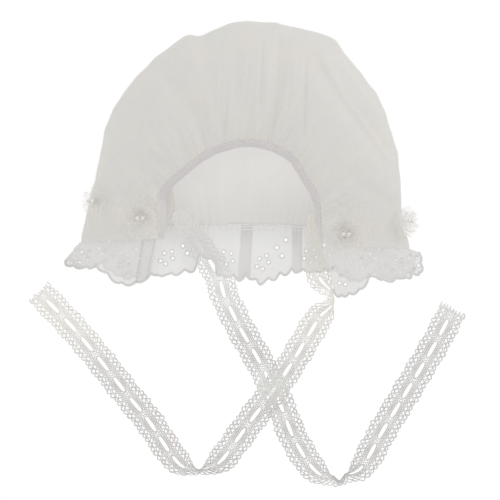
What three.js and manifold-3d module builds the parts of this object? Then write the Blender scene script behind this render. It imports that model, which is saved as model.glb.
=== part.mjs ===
// A baby's gathered bonnet of fine white cotton under sheer organza. It lies on its top-of-head side with the
// nape uppermost, and its two lace ties are laid out on the same surface.
// Millimetres. X runs to the right, Y from the face opening to the back of the crown, Z up from the surface.
import * as THREE from 'three';
import { mergeVertices } from 'three/addons/utils/BufferGeometryUtils.js';
import Module from 'manifold-3d';

const wasm = await Module();
wasm.setup();

// Driving dimensions
const CLOTH_WALL = 1.4;
const LACE_WALL = 1.2;
const PIECE_GAP = 0.45;
const MERGE_DISTANCE = 0.002;
const SMALL_STEP = 0.02;

// The crown is measured as columns that run from the nape arch out to the fold and back under to the hem.
const GATHERS = { count: 15, depth: 1.5, peak: 0.1, columnsEach: 3 };
const CROWN_COLUMNS = GATHERS.count * GATHERS.columnsEach;
const CROWN_HEM_ROWS = 2;
const CROWN_SPLIT = 2;
const BAND = { width: 5.6, thickness: 2.8, tip: 0.35, steps: 36, sides: 6 };
const RUFFLE = { scallops: 13, columnsPerScallop: 8, scallopDepth: 7, lobesPerScallop: 4, lobeDepth: 1.5 };
const RUFFLE_ROWS = [0, 0.5, 1];
const EYELET = { sides: 5, cut: 4, petalRadius: 1.25, petalRing: 4.1, petals: 5, singleRadius: 1.6, down: 0.62 };
const TIE = { width: 19, scallop: 0.9, slotHalfWidth: 1.0, slotShare: 0.66, clearance: 0.12 };
const PEARL = { radius: 1.3, gap: 0.4, sides: 8, bands: 4 };

// Edge of the nape arch, from the left neck corner round to the right one
const NAPE_ARCH = [
  { x: -55.4, y: 9.6 },
  { x: -55.8, y: 24 },
  { x: -54.8, y: 38.5 },
  { x: -42.3, y: 51.6 },
  { x: -22.4, y: 65.7 },
  { x: 3.3, y: 71.5 },
  { x: 27.6, y: 62.4 },
  { x: 37, y: 49 },
  { x: 44.2, y: 36.5 },
  { x: 46.4, y: 20 },
  { x: 49, y: 3.6 },
];

// Outline of the crown from above, from the left end of the face opening round the back to the right end
const CROWN_OUTLINE = [
  { x: -109, y: 8 },
  { x: -105, y: 28 },
  { x: -99.5, y: 50 },
  { x: -95.6, y: 69 },
  { x: -91, y: 87 },
  { x: -83.9, y: 100 },
  { x: -72.8, y: 115.7 },
  { x: -54, y: 132.6 },
  { x: -39, y: 142.6 },
  { x: -31, y: 142.8 },
  { x: -12, y: 150.4 },
  { x: 3, y: 152 },
  { x: 20, y: 150.4 },
  { x: 43, y: 145.4 },
  { x: 56.6, y: 140.4 },
  { x: 67.6, y: 126.5 },
  { x: 77.5, y: 114.5 },
  { x: 87.5, y: 99.5 },
  { x: 93.4, y: 84 },
  { x: 98.4, y: 66 },
  { x: 100.4, y: 48 },
  { x: 102, y: 26 },
  { x: 106.5, y: 4 },
];

// Hem of the lower layer, where the frill is sewn on
const CROWN_HEM = [
  { x: -104.5, y: 9.2 },
  { x: -88, y: 13.5 },
  { x: -60, y: 17.5 },
  { x: -20, y: 18.8 },
  { x: 30, y: 18.2 },
  { x: 62, y: 15.2 },
  { x: 88, y: 9.4 },
  { x: 102.5, y: 5.2 },
];

// Height of the dome along the arch, by share of the way round
const CROWN_HEIGHTS = [
  { share: 0, height: 15 },
  { share: 0.07, height: 18.5 },
  { share: 0.16, height: 27 },
  { share: 0.3, height: 37 },
  { share: 0.5, height: 42 },
  { share: 0.7, height: 37 },
  { share: 0.84, height: 27 },
  { share: 0.93, height: 18.5 },
  { share: 1, height: 15 },
];

// One column of the crown: share of the reach from the arch to the outline, and share of the dome's height
const CROWN_PROFILE = [
  { reach: 0, height: 0.82 },
  { reach: 0.1, height: 0.92 },
  { reach: 0.24, height: 0.985 },
  { reach: 0.42, height: 1 },
  { reach: 0.62, height: 0.9 },
  { reach: 0.8, height: 0.7 },
  { reach: 0.93, height: 0.46 },
  { reach: 1, height: 0.22 },
  { reach: 0.985, height: 0.07 },
  { reach: 0.945, height: 0 },
];

// Long soft folds in the upper layer: where each starts and ends, half its width and how deep it is. Each fades
// to the first share of its depth at its ends.
const FOLD_TAPER = 0.15;
const CROWN_FOLDS = [
  { x0: 48, y0: 116, x1: 94, y1: 60, width: 6, depth: 3 },
  { x0: -58, y0: 122, x1: -26, y1: 78, width: 6, depth: 2 },
  { x0: -88, y0: 66, x1: -58, y1: 58, width: 6, depth: 2.2 },
  { x0: -8, y0: 140, x1: -6, y1: 84, width: 5, depth: 2.2 },
  { x0: 24, y0: 138, x1: 17, y1: 82, width: 5, depth: 2.4 },
  { x0: 66, y0: 50, x1: 92, y1: 34, width: 5, depth: 1.6 },
];

// Free edge of the frill: scallops counted from the left neck corner, share of the way along the hem that it
// hangs from, and the place of the edge before its scallops are added
const RUFFLE_EDGE = [
  { scallop: 0, hem: 0, x: -62, y: -11.5, z: 8.4 },
  { scallop: 0.5, hem: 0.05, x: -77.4, y: -13.6, z: 8.2 },
  { scallop: 1, hem: 0.095, x: -93, y: -10.6, z: 8 },
  { scallop: 1.5, hem: 0.13, x: -106.4, y: -5, z: 7.4 },
  { scallop: 1.95, hem: 0.155, x: -115, y: -1.6, z: 5.8 },
  { scallop: 2.15, hem: 0.168, x: -117, y: -1, z: 3.2 },
  { scallop: 2.3, hem: 0.178, x: -115.6, y: -2.2, z: 0.6 },
  { scallop: 2.5, hem: 0.192, x: -111, y: -4.6, z: 0 },
  { scallop: 3, hem: 0.235, x: -98, y: -8, z: 0 },
  { scallop: 4, hem: 0.322, x: -72, y: -9.4, z: 0 },
  { scallop: 5, hem: 0.412, x: -40.5, y: -10, z: 0 },
  { scallop: 6, hem: 0.502, x: -8.4, y: -12.8, z: 0 },
  { scallop: 7, hem: 0.588, x: 22.6, y: -11, z: 0 },
  { scallop: 8, hem: 0.672, x: 54, y: -10, z: 0 },
  { scallop: 9, hem: 0.76, x: 83, y: -9, z: 0 },
  { scallop: 9.9, hem: 0.815, x: 107, y: -6, z: 0 },
  { scallop: 10.08, hem: 0.828, x: 110.8, y: -3.4, z: 0.6 },
  { scallop: 10.2, hem: 0.836, x: 111.8, y: -2.4, z: 3 },
  { scallop: 10.36, hem: 0.845, x: 110.4, y: -3.4, z: 5.8 },
  { scallop: 10.75, hem: 0.864, x: 107.6, y: -7.4, z: 7.4 },
  { scallop: 11.2, hem: 0.886, x: 101, y: -11, z: 8 },
  { scallop: 11.8, hem: 0.918, x: 85.6, y: -13, z: 8.4 },
  { scallop: 12.4, hem: 0.958, x: 68, y: -18.8, z: 8.4 },
  { scallop: 13, hem: 1, x: 54.6, y: -15.5, z: 8.6 },
];
// The frill is one strip. Its stretches that hang from the upper layer, left of one line and right of the other,
// are pieces of their own above this height.
const RUFFLE_SPLIT = { height: 3.5, left: -56, right: 50 };
const BEYOND = 400;
// How deep one wave of the frill is at its free edge, the room that its seam keeps from the hem, and how far its
// scalloped edge is carried along past its eyelets, in scallops
const RUFFLE_FORM = [
  { scallop: 0, depth: 1.2, gap: 0.9, lag: 0 },
  { scallop: 1.2, depth: 1.2, gap: 0.9, lag: 0.2 },
  { scallop: 1.8, depth: 1.2, gap: 0.9, lag: 0 },
  { scallop: 2.6, depth: 1, gap: 0.5, lag: 0 },
  { scallop: 3.6, depth: 1, gap: 0.5, lag: 0.2 },
  { scallop: 4.25, depth: 1.8, gap: 0.5, lag: 0.25 },
  { scallop: 4.8, depth: 2.4, gap: 0.5, lag: 0.25 },
  { scallop: 6.25, depth: 2.4, gap: 0.5, lag: 0.25 },
  { scallop: 7.4, depth: 2.4, gap: 0.5, lag: 0.2 },
  { scallop: 8.2, depth: 1, gap: 0.5, lag: 0.1 },
  { scallop: 9, depth: 1, gap: 0.5, lag: 0 },
  { scallop: 9.8, depth: 1, gap: 0.5, lag: 0 },
  { scallop: 10.6, depth: 1.2, gap: 0.9, lag: 0 },
  { scallop: 13, depth: 1.2, gap: 0.9, lag: 0 },
];

// One repeat of each tie's lace, and the middle of its last slot from the free end
const TIE_LACE = {
  left: { pitch: 15.7, endBar: 11.5 },
  right: { pitch: 16.8, endBar: 10.5 },
};

// Routes of the two ties: the middle of the ribbon, how far its lowest edge is above the surface, and how far
// it is turned about its own length, in degrees
const TIE_LEFT_ROUTE = [
  { x: -46.5, y: 28, lift: 9, turn: 0 },
  { x: -40.6, y: 19.6, lift: 6, turn: 0 },
  { x: -34, y: 9.6, lift: 4.6, turn: 0 },
  { x: -27.8, y: 1, lift: 4.2, turn: 0 },
  { x: -22, y: -8, lift: 4.2, turn: 0 },
  { x: -17.6, y: -17, lift: 3.8, turn: 0 },
  { x: -14.8, y: -27, lift: 0.8, turn: 0 },
  { x: -10.1, y: -37, lift: 0, turn: 0 },
  { x: -4.6, y: -48, lift: 0, turn: 0 },
  { x: 3, y: -61, lift: 1.2, turn: 0 },
  { x: 10.6, y: -74.5, lift: 2, turn: 0 },
  { x: 18.2, y: -90, lift: 2, turn: 0 },
  { x: 24.2, y: -104, lift: 2, turn: 0 },
  { x: 28.4, y: -115.5, lift: 0.8, turn: 0 },
  { x: 34.4, y: -127, lift: 0, turn: 4 },
  { x: 40.6, y: -136.6, lift: 0, turn: 14 },
  { x: 47.4, y: -144.6, lift: 0, turn: 38 },
  { x: 54, y: -149.4, lift: 0, turn: 74 },
  { x: 60.6, y: -150.4, lift: 0, turn: 92 },
  { x: 67, y: -147.6, lift: 0, turn: 78 },
  { x: 73, y: -141.6, lift: 0, turn: 40 },
  { x: 79.4, y: -131.6, lift: 0, turn: 8 },
  { x: 87, y: -117.6, lift: 0, turn: 0 },
  { x: 98.2, y: -99, lift: 0, turn: 0 },
  { x: 110.6, y: -78.6, lift: 0, turn: 0 },
  { x: 122.4, y: -58.6, lift: 0, turn: 0 },
  { x: 133.4, y: -37.8, lift: 0, turn: 0 },
];
const TIE_RIGHT_ROUTE = [
  { x: 42, y: 27, lift: 9, turn: 0 },
  { x: 42.2, y: 17, lift: 6.4, turn: 0 },
  { x: 43, y: 6.6, lift: 4.6, turn: 0 },
  { x: 44.4, y: -4, lift: 4.2, turn: 0 },
  { x: 46.6, y: -14, lift: 3.6, turn: 16 },
  { x: 50, y: -23, lift: 1.2, turn: 58 },
  { x: 51.6, y: -30, lift: 0, turn: 95 },
  { x: 50, y: -36, lift: 0, turn: 140 },
  { x: 46, y: -43, lift: 0, turn: 174 },
  { x: 39.6, y: -53.6, lift: 0, turn: 180 },
  { x: 31.4, y: -67.4, lift: 0, turn: 180 },
  { x: 22, y: -81.8, lift: 0, turn: 180 },
  { x: 11.6, y: -96.4, lift: 0, turn: 180 },
  { x: 1, y: -110.6, lift: 0, turn: 180 },
  { x: -9, y: -124.4, lift: 0, turn: 182 },
  { x: -16, y: -135, lift: 0, turn: 200 },
  { x: -22.4, y: -141.6, lift: 0, turn: 242 },
  { x: -29.6, y: -143.8, lift: 0, turn: 266 },
  { x: -37.4, y: -144.4, lift: 0, turn: 268 },
  { x: -43.4, y: -141.4, lift: 0, turn: 240 },
  { x: -48.6, y: -133.2, lift: 0, turn: 200 },
  { x: -54.6, y: -122.6, lift: 0, turn: 182 },
  { x: -64, y: -108.6, lift: 0, turn: 180 },
  { x: -78.4, y: -91, lift: 0, turn: 180 },
  { x: -96.2, y: -68.4, lift: 0, turn: 180 },
  { x: -114.6, y: -46.6, lift: 0, turn: 180 },
  { x: -134.2, y: -26.2, lift: 0, turn: 180 },
];

// The flowers: where each is sewn on the crown, by share of the way round the arch and share of the reach, its
// radius, how far its heart stands off the cloth, and the pearls in its heart
const FLOWERS = [
  { name: 'left', around: 0.068, reach: 0.25, radius: 19, stand: 2.2, pearls: 2 },
  { name: 'right', around: 0.956, reach: 0.27, radius: 19, stand: 2.2, pearls: 2 },
  { name: 'edge_left', around: 0.07, reach: 0.86, radius: 10, stand: 1.2, pearls: 2 },
  { name: 'edge_right', around: 0.957, reach: 0.95, radius: 10, stand: 1.2, pearls: 2 },
];
// Section of a flower from the middle of its underside out to the petal tips and back over to its heart
const FLOWER = { petals: 5, petalCut: 0.2, columns: 10, heart: 4.4 };
const FLOWER_PROFILE = [
  { radius: 0.5, height: 0.4, lobes: 0.3 },
  { radius: 1, height: 2.2, lobes: 1 },
  { radius: 0.96, height: 3.4, lobes: 1 },
  { radius: 0.55, height: 4.2, lobes: 0.5 },
  { radius: 0.26, height: 5.2, lobes: 0 },
];

const point = (x, y, z = 0) => new THREE.Vector3(x, y, z);

// The smooth curve through the places in a table
function curveThrough(table) {
  return new THREE.CatmullRomCurve3(table.map((row) => point(row.x, row.y, row.z)), false, 'centripetal');
}

// The value of a column of a table at a place between its rows
function between(table, key, value, place) {
  const last = table.length - 1;
  const next = table.findIndex((row) => row[key] > place);
  if (next < 1) {
    return next === 0 ? table[0][value] : table[last][value];
  }
  const [before, after] = [table[next - 1], table[next]];
  const share = (place - before[key]) / (after[key] - before[key]);
  return THREE.MathUtils.lerp(before[value], after[value], share);
}

// A sheet of faces over a grid of points, less the cells that are left open
function gridSheet(columns, rows, pointAt, isOpen = () => false) {
  const points = [];
  const faces = [];
  for (let row = 0; row < rows; row += 1) {
    for (let column = 0; column < columns; column += 1) {
      points.push(pointAt(column, row));
    }
  }
  for (let row = 0; row < rows - 1; row += 1) {
    for (let column = 0; column < columns - 1; column += 1) {
      if (!isOpen(column, row)) {
        const corner = row * columns + column;
        faces.push(corner, corner + 1, corner + columns + 1, corner, corner + columns + 1, corner + columns);
      }
    }
  }
  return mergedGeometry(points, faces);
}

// A geometry with shared corners, less the faces that close to a line
function mergedGeometry(points, faces) {
  const loose = new THREE.BufferGeometry().setFromPoints(points);
  loose.setIndex(faces);
  const merged = mergeVertices(loose, MERGE_DISTANCE);
  const kept = [];
  for (let face = 0; face < merged.index.count; face += 3) {
    const [a, b, c] = [0, 1, 2].map((corner) => merged.index.getX(face + corner));
    if (a !== b && b !== c && c !== a) {
      kept.push(a, b, c);
    }
  }
  merged.setIndex(kept);
  merged.computeVertexNormals();
  return merged;
}

// A closed wall: the sheet, a copy of it set back by the wall's thickness, and a strip along every free edge
function thicken(sheet, wall) {
  const count = sheet.attributes.position.count;
  const front = [];
  const back = [];
  for (let i = 0; i < count; i += 1) {
    const place = point(0, 0).fromBufferAttribute(sheet.attributes.position, i);
    const normal = point(0, 0).fromBufferAttribute(sheet.attributes.normal, i);
    front.push(place);
    back.push(place.clone().addScaledVector(normal, -wall));
  }
  const index = sheet.index.array;
  const faces = [...index];
  const edges = new Map();
  for (let face = 0; face < index.length; face += 3) {
    const corners = [index[face], index[face + 1], index[face + 2]];
    faces.push(corners[2] + count, corners[1] + count, corners[0] + count);
    corners.forEach((from, i) => edges.set(`${from} ${corners[(i + 1) % 3]}`, [from, corners[(i + 1) % 3]]));
  }
  for (const [from, to] of edges.values()) {
    if (!edges.has(`${to} ${from}`)) {
      faces.push(to, from, from + count, to, from + count, to + count);
    }
  }
  const body = new THREE.BufferGeometry().setFromPoints([...front, ...back]);
  body.setIndex(faces);
  return body;
}

// A closed body through rings of equal count, each end closed to a point
function ringBody(rings, startPoint, endPoint) {
  const sides = rings[0].length;
  const points = [...rings.flat(), startPoint, endPoint];
  const start = points.length - 2;
  const end = points.length - 1;
  const faces = [];
  for (let side = 0; side < sides; side += 1) {
    const next = (side + 1) % sides;
    faces.push(start, next, side);
    for (let ring = 0; ring < rings.length - 1; ring += 1) {
      const [a, b] = [ring * sides + side, ring * sides + next];
      faces.push(a, b, b + sides, a, b + sides, a + sides);
    }
    const last = (rings.length - 1) * sides;
    faces.push(end, last + side, last + next);
  }
  return mergedGeometry(points, faces);
}

// Solids for cutting, and back to a geometry
function asSolid(geometry) {
  const bare = geometry.clone();
  bare.deleteAttribute('normal');
  bare.deleteAttribute('uv');
  const merged = mergeVertices(bare, MERGE_DISTANCE);
  const vertProperties = new Float32Array(merged.attributes.position.array);
  const triVerts = new Uint32Array(merged.index.array);
  return new wasm.Manifold(new wasm.Mesh({ numProp: 3, vertProperties, triVerts }));
}

function asGeometry(solid) {
  const mesh = solid.getMesh();
  const geometry = new THREE.BufferGeometry();
  geometry.setAttribute('position', new THREE.BufferAttribute(new Float32Array(mesh.vertProperties), 3));
  geometry.setIndex([...mesh.triVerts]);
  return geometry;
}

// Crown
const archCurve = curveThrough(NAPE_ARCH);
const outlineCurve = curveThrough(CROWN_OUTLINE);
const hemCurve = curveThrough(CROWN_HEM);

// The outward direction of the arch in plan, away from the neck opening
function archOutward(around) {
  const along = archCurve.getTangentAt(around);
  return point(-along.y, along.x);
}

function foldDrop(x, y) {
  let drop = 0;
  for (const fold of CROWN_FOLDS) {
    const along = point(fold.x1 - fold.x0, fold.y1 - fold.y0);
    const from = point(x - fold.x0, y - fold.y0);
    const share = THREE.MathUtils.clamp(from.dot(along) / along.lengthSq(), 0, 1);
    const distance = from.distanceTo(along.clone().multiplyScalar(share));
    const taper = Math.sin(Math.PI * THREE.MathUtils.lerp(FOLD_TAPER, 1 - FOLD_TAPER, share));
    drop += fold.depth * taper * Math.exp(-((distance / fold.width) ** 2));
  }
  return drop;
}

// A point of the crown's outer face, by share of the way round the arch and by row of the profile
function crownPoint(around, reach, heightShare, folded) {
  const start = archCurve.getPointAt(around).addScaledVector(archOutward(around), BAND.width / 2 + PIECE_GAP);
  const end = outlineCurve.getPointAt(around);
  const place = start.lerp(end, reach);
  place.z = heightShare * between(CROWN_HEIGHTS, 'share', 'height', around);
  if (folded) {
    const gatherShare = (reach / GATHERS.peak) * Math.exp(1 - reach / GATHERS.peak);
    const pleat = GATHERS.depth * gatherShare * Math.cos(2 * Math.PI * GATHERS.count * around);
    place.z += pleat - foldDrop(place.x, place.y);
  }
  return place;
}

function crownGridPoint(column, row) {
  const around = column / CROWN_COLUMNS;
  const last = CROWN_PROFILE.length - 1;
  const { reach, height } = CROWN_PROFILE[Math.min(row, last)];
  const place = crownPoint(around, reach, height, row > 0 && row < last - 2);
  if (row <= last) {
    return place;
  }
  const hemPlace = hemCurve.getPointAt(around);
  const atCorner = column === 0 || column === CROWN_COLUMNS;
  return atCorner ? place : place.lerp(hemPlace, (row - last) / CROWN_HEM_ROWS);
}

const crownRows = CROWN_PROFILE.length + CROWN_HEM_ROWS;
const crownWall = asSolid(thicken(gridSheet(CROWN_COLUMNS + 1, crownRows, crownGridPoint), CLOTH_WALL));

// The crown is one cloth. Its upper and under layers are two pieces that meet in a level plane by the fold.
const crownUpper = asGeometry(crownWall.trimByPlane([0, 0, 1], CROWN_SPLIT + PIECE_GAP / 2));
const crownUnder = asGeometry(crownWall.trimByPlane([0, 0, -1], PIECE_GAP / 2 - CROWN_SPLIT));

// The whole face-opening edge of the crown, from the left neck corner down round the hem to the right one
function faceEdge() {
  const places = [];
  const add = (column, row) => {
    const place = crownGridPoint(column, row);
    if (!places.length || place.distanceTo(places[places.length - 1]) > MERGE_DISTANCE) {
      places.push(place);
    }
  };
  for (let row = 0; row < CROWN_PROFILE.length; row += 1) {
    add(0, row);
  }
  for (let column = 0; column <= CROWN_COLUMNS; column += 1) {
    add(column, crownRows - 1);
  }
  for (let row = CROWN_PROFILE.length - 1; row >= 0; row -= 1) {
    add(CROWN_COLUMNS, row);
  }
  return places;
}

const faceEdgePlaces = faceEdge();
const faceEdgeLengths = [0];
for (let i = 1; i < faceEdgePlaces.length; i += 1) {
  const step = faceEdgePlaces[i].distanceTo(faceEdgePlaces[i - 1]);
  faceEdgeLengths.push(faceEdgeLengths[i - 1] + step);
}
const faceEdgeLength = faceEdgeLengths[faceEdgeLengths.length - 1];

function faceEdgePoint(share) {
  const wanted = THREE.MathUtils.clamp(share, 0, 1) * faceEdgeLength;
  const next = Math.max(1, faceEdgeLengths.findIndex((length) => length >= wanted - MERGE_DISTANCE));
  const step = faceEdgeLengths[next] - faceEdgeLengths[next - 1];
  const part = (wanted - faceEdgeLengths[next - 1]) / step;
  return faceEdgePlaces[next - 1].clone().lerp(faceEdgePlaces[next], part);
}

// Shirred band round the nape arch: an oval casing that follows the arch and tips with the crown's slope
function napeBand() {
  const rings = [];
  const heightShare = CROWN_PROFILE[0].height;
  for (let step = 0; step <= BAND.steps; step += 1) {
    const around = step / BAND.steps;
    const middle = archCurve.getPointAt(around);
    middle.z = heightShare * between(CROWN_HEIGHTS, 'share', 'height', around) - CLOTH_WALL;
    const outward = archOutward(around).addScaledVector(point(0, 0, 1), BAND.tip).normalize();
    const up = outward.clone().cross(archCurve.getTangentAt(around)).negate().normalize();
    const ring = [];
    for (let side = 0; side < BAND.sides; side += 1) {
      const angle = (2 * Math.PI * side) / BAND.sides;
      const place = middle.clone().addScaledVector(outward, (BAND.width / 2) * Math.cos(angle));
      ring.push(place.addScaledVector(up, (BAND.thickness / 2) * Math.sin(angle)));
    }
    rings.push(ring);
  }
  const centre = (ring) => ring.reduce((sum, place) => sum.add(place), point(0, 0)).divideScalar(ring.length);
  return ringBody(rings, centre(rings[0]), centre(rings[rings.length - 1]));
}

// Eyelet frill
function ruffleBase(scallop, down) {
  const hem = faceEdgePoint(between(RUFFLE_EDGE, 'scallop', 'hem', scallop));
  const edge = point(0, 0);
  for (const axis of ['x', 'y', 'z']) {
    edge[axis] = between(RUFFLE_EDGE, 'scallop', axis, scallop);
  }
  const along = edge.clone().sub(hem).normalize();
  const start = hem.addScaledVector(along, between(RUFFLE_FORM, 'scallop', 'gap', scallop));
  const cut = scallop - between(RUFFLE_FORM, 'scallop', 'lag', scallop);
  const arc = Math.sqrt(Math.abs(Math.sin(Math.PI * cut)));
  const lobe = Math.abs(Math.sin(Math.PI * RUFFLE.lobesPerScallop * cut));
  edge.addScaledVector(along, RUFFLE.scallopDepth * arc + RUFFLE.lobeDepth * lobe);
  return start.lerp(edge, down);
}

function ruffleNormal(scallop, down) {
  const low = Math.max(0, scallop - SMALL_STEP);
  const high = Math.min(RUFFLE.scallops, scallop + SMALL_STEP);
  const [top, foot] = [Math.max(0, down - SMALL_STEP), Math.min(1, down + SMALL_STEP)];
  const sideways = ruffleBase(high, down).sub(ruffleBase(low, down));
  const outward = ruffleBase(scallop, foot).sub(ruffleBase(scallop, top));
  return sideways.cross(outward).normalize();
}

function rufflePoint(scallop, down) {
  const place = ruffleBase(scallop, down);
  const wave = 0.5 - 0.5 * Math.cos(2 * Math.PI * scallop);
  const depth = between(RUFFLE_FORM, 'scallop', 'depth', scallop) * down * wave;
  place.addScaledVector(ruffleNormal(scallop, down), -depth);
  place.z = Math.max(place.z, 0);
  return place;
}

// One flower of round eyelets in the middle of each scallop, and a larger single eyelet between flowers
function eyeletHoles() {
  const holes = [];
  const { down } = EYELET;
  for (let scallop = 0; scallop < RUFFLE.scallops; scallop += 1) {
    const middle = scallop + 0.5;
    const width = rufflePoint(middle + SMALL_STEP, down).distanceTo(rufflePoint(middle, down)) / SMALL_STEP;
    const length = rufflePoint(middle, 1).distanceTo(rufflePoint(middle, 0));
    for (let petal = 0; petal < EYELET.petals; petal += 1) {
      const angle = (2 * Math.PI * petal) / EYELET.petals;
      holes.push({
        scallop: middle + (EYELET.petalRing * Math.sin(angle)) / width,
        down: down + (EYELET.petalRing * Math.cos(angle)) / length,
        radius: EYELET.petalRadius,
      });
    }
    if (scallop > 0) {
      holes.push({ scallop, down, radius: EYELET.singleRadius });
    }
  }
  return holes;
}

function eyeletRuffle() {
  const columns = RUFFLE.scallops * RUFFLE.columnsPerScallop;
  const pointAt = (column, row) => rufflePoint(column / RUFFLE.columnsPerScallop, RUFFLE_ROWS[row]);
  const wall = thicken(gridSheet(columns + 1, RUFFLE_ROWS.length, pointAt), LACE_WALL);
  const { position } = wall.attributes;
  for (let i = 0; i < position.count; i += 1) {
    position.setZ(i, Math.max(0, position.getZ(i)));
  }
  let frill = asSolid(wall);
  for (const hole of eyeletHoles()) {
    const punch = new THREE.CylinderGeometry(hole.radius, hole.radius, EYELET.cut, EYELET.sides);
    const normal = ruffleNormal(hole.scallop, hole.down);
    punch.applyQuaternion(new THREE.Quaternion().setFromUnitVectors(point(0, 1), normal));
    const place = rufflePoint(hole.scallop, hole.down).addScaledVector(normal, -LACE_WALL / 2);
    punch.translate(place.x, place.y, place.z);
    frill = frill.subtract(asSolid(punch));
  }
  return frill;
}

// The stretches that hang from the upper layer are cut from the far one in the folds
const frill = eyeletRuffle();
const overFar = (from, to, lift) => wasm.Manifold.cube([to - from, 2 * BEYOND, BEYOND])
  .translate([from, -BEYOND, RUFFLE_SPLIT.height + lift]);
const ruffleLeft = frill.intersect(overFar(-BEYOND, RUFFLE_SPLIT.left, PIECE_GAP / 2));
const ruffleRight = frill.intersect(overFar(RUFFLE_SPLIT.right, BEYOND, PIECE_GAP / 2));
const ruffleFar = frill
  .subtract(overFar(-BEYOND, RUFFLE_SPLIT.left, -PIECE_GAP / 2))
  .subtract(overFar(RUFFLE_SPLIT.right, BEYOND, -PIECE_GAP / 2));

// Lace ties: a flat ribbon with a ladder of slots down its middle and a shallow scallop along both edges. The
// slots are counted back from the free end.
function tieStations(length, lace) {
  const stations = [{ along: length, fullness: 0.5, slot: false }];
  const half = (TIE.slotShare / 2) * lace.pitch;
  for (let slot = length - lace.endBar; slot > lace.pitch / 2; slot -= lace.pitch) {
    stations.unshift({ along: slot + half, fullness: 0.75, slot: false });
    stations.unshift({ along: slot, fullness: 1, slot: true });
    stations.unshift({ along: slot - half, fullness: 0.75, slot: true });
    stations.unshift({ along: Math.max(0, slot - lace.pitch / 2), fullness: 0, slot: false });
  }
  if (stations[0].along > 0) {
    stations.unshift({ along: 0, fullness: 0.5, slot: false });
  }
  return stations;
}

function laceTie(route, lace) {
  const curve = curveThrough(route);
  const length = curve.getLength();
  const parameters = route.map((row, i) => ({ ...row, place: i / (route.length - 1) }));
  const stations = tieStations(length, lace);
  const crossRows = stations.map(({ along: reached, fullness }) => {
    const place = curve.getUtoTmapping(reached / length);
    const turn = THREE.MathUtils.degToRad(between(parameters, 'place', 'turn', place));
    const middle = curve.getPoint(place);
    const halfWidth = TIE.width / 2 - TIE.scallop * (1 - fullness);
    const along = curve.getTangent(place);
    const side = point(along.y, -along.x).normalize();
    const up = point(0, 0, 1);
    const across = side.clone().multiplyScalar(Math.cos(turn)).addScaledVector(up, Math.sin(turn));
    const face = up.clone().multiplyScalar(Math.cos(turn)).addScaledVector(side, -Math.sin(turn));
    const lowest = (TIE.width / 2) * Math.abs(Math.sin(turn)) + (LACE_WALL / 2) * Math.abs(Math.cos(turn));
    middle.z = between(parameters, 'place', 'lift', place) + lowest + TIE.clearance;
    middle.addScaledVector(face, LACE_WALL / 2);
    return [-halfWidth, -TIE.slotHalfWidth, TIE.slotHalfWidth, halfWidth].map((offset) => (
      middle.clone().addScaledVector(across, offset)));
  });
  const pointAt = (column, row) => crossRows[row][column];
  const isOpen = (column, row) => column === 1 && stations[row].slot;
  return thicken(gridSheet(4, stations.length, pointAt, isOpen), LACE_WALL);
}

// Flowers and pearls
const crownTop = CROWN_PROFILE.filter((row, i) => i === 0 || row.reach > CROWN_PROFILE[i - 1].reach);

function crownSeat(around, reach) {
  const at = (a, r) => crownPoint(a, r, between(crownTop, 'reach', 'height', r), false);
  const sideways = at(around + SMALL_STEP, reach).sub(at(around - SMALL_STEP, reach));
  const outward = at(around, reach + SMALL_STEP).sub(at(around, reach - SMALL_STEP));
  return { place: at(around, reach), normal: sideways.cross(outward).normalize() };
}

function flowerFrame(flower) {
  const { place, normal } = crownSeat(flower.around, flower.reach);
  const turn = new THREE.Quaternion().setFromUnitVectors(point(0, 0, 1), normal);
  return { origin: place.addScaledVector(normal, flower.stand), turn };
}

function flowerBody(flower) {
  const rings = FLOWER_PROFILE.map(({ radius, height, lobes }) => {
    const ring = [];
    for (let column = 0; column < FLOWER.columns; column += 1) {
      const angle = (2 * Math.PI * column) / FLOWER.columns;
      const lobe = 1 - FLOWER.petalCut * lobes * (0.5 - 0.5 * Math.cos(FLOWER.petals * angle));
      const reach = flower.radius * radius * lobe;
      ring.push(point(reach * Math.cos(angle), reach * Math.sin(angle), height));
    }
    return ring;
  });
  return ringBody(rings, point(0, 0, 0), point(0, 0, FLOWER.heart));
}

function setOn(geometry, frame) {
  return geometry.applyQuaternion(frame.turn).translate(frame.origin.x, frame.origin.y, frame.origin.z);
}

// Materials
const cloth = { roughness: 0.85, metalness: 0 };
const finishes = {
  crown: { ...cloth, color: 0xe4e2dc },
  band: { ...cloth, color: 0xdcd7d5 },
  frill: { ...cloth, color: 0xeeedeb },
  lace: { ...cloth, color: 0xe0dfda },
  organza: { roughness: 0.6, metalness: 0, color: 0xe8e4dc },
  pearl: { roughness: 0.25, metalness: 0, color: 0xf2efe8 },
};

const bonnet = new THREE.Group();

function addPiece(name, geometry, finish) {
  const mesh = new THREE.Mesh(geometry, new THREE.MeshStandardMaterial(finish));
  mesh.name = name;
  bonnet.add(mesh);
}

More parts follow.
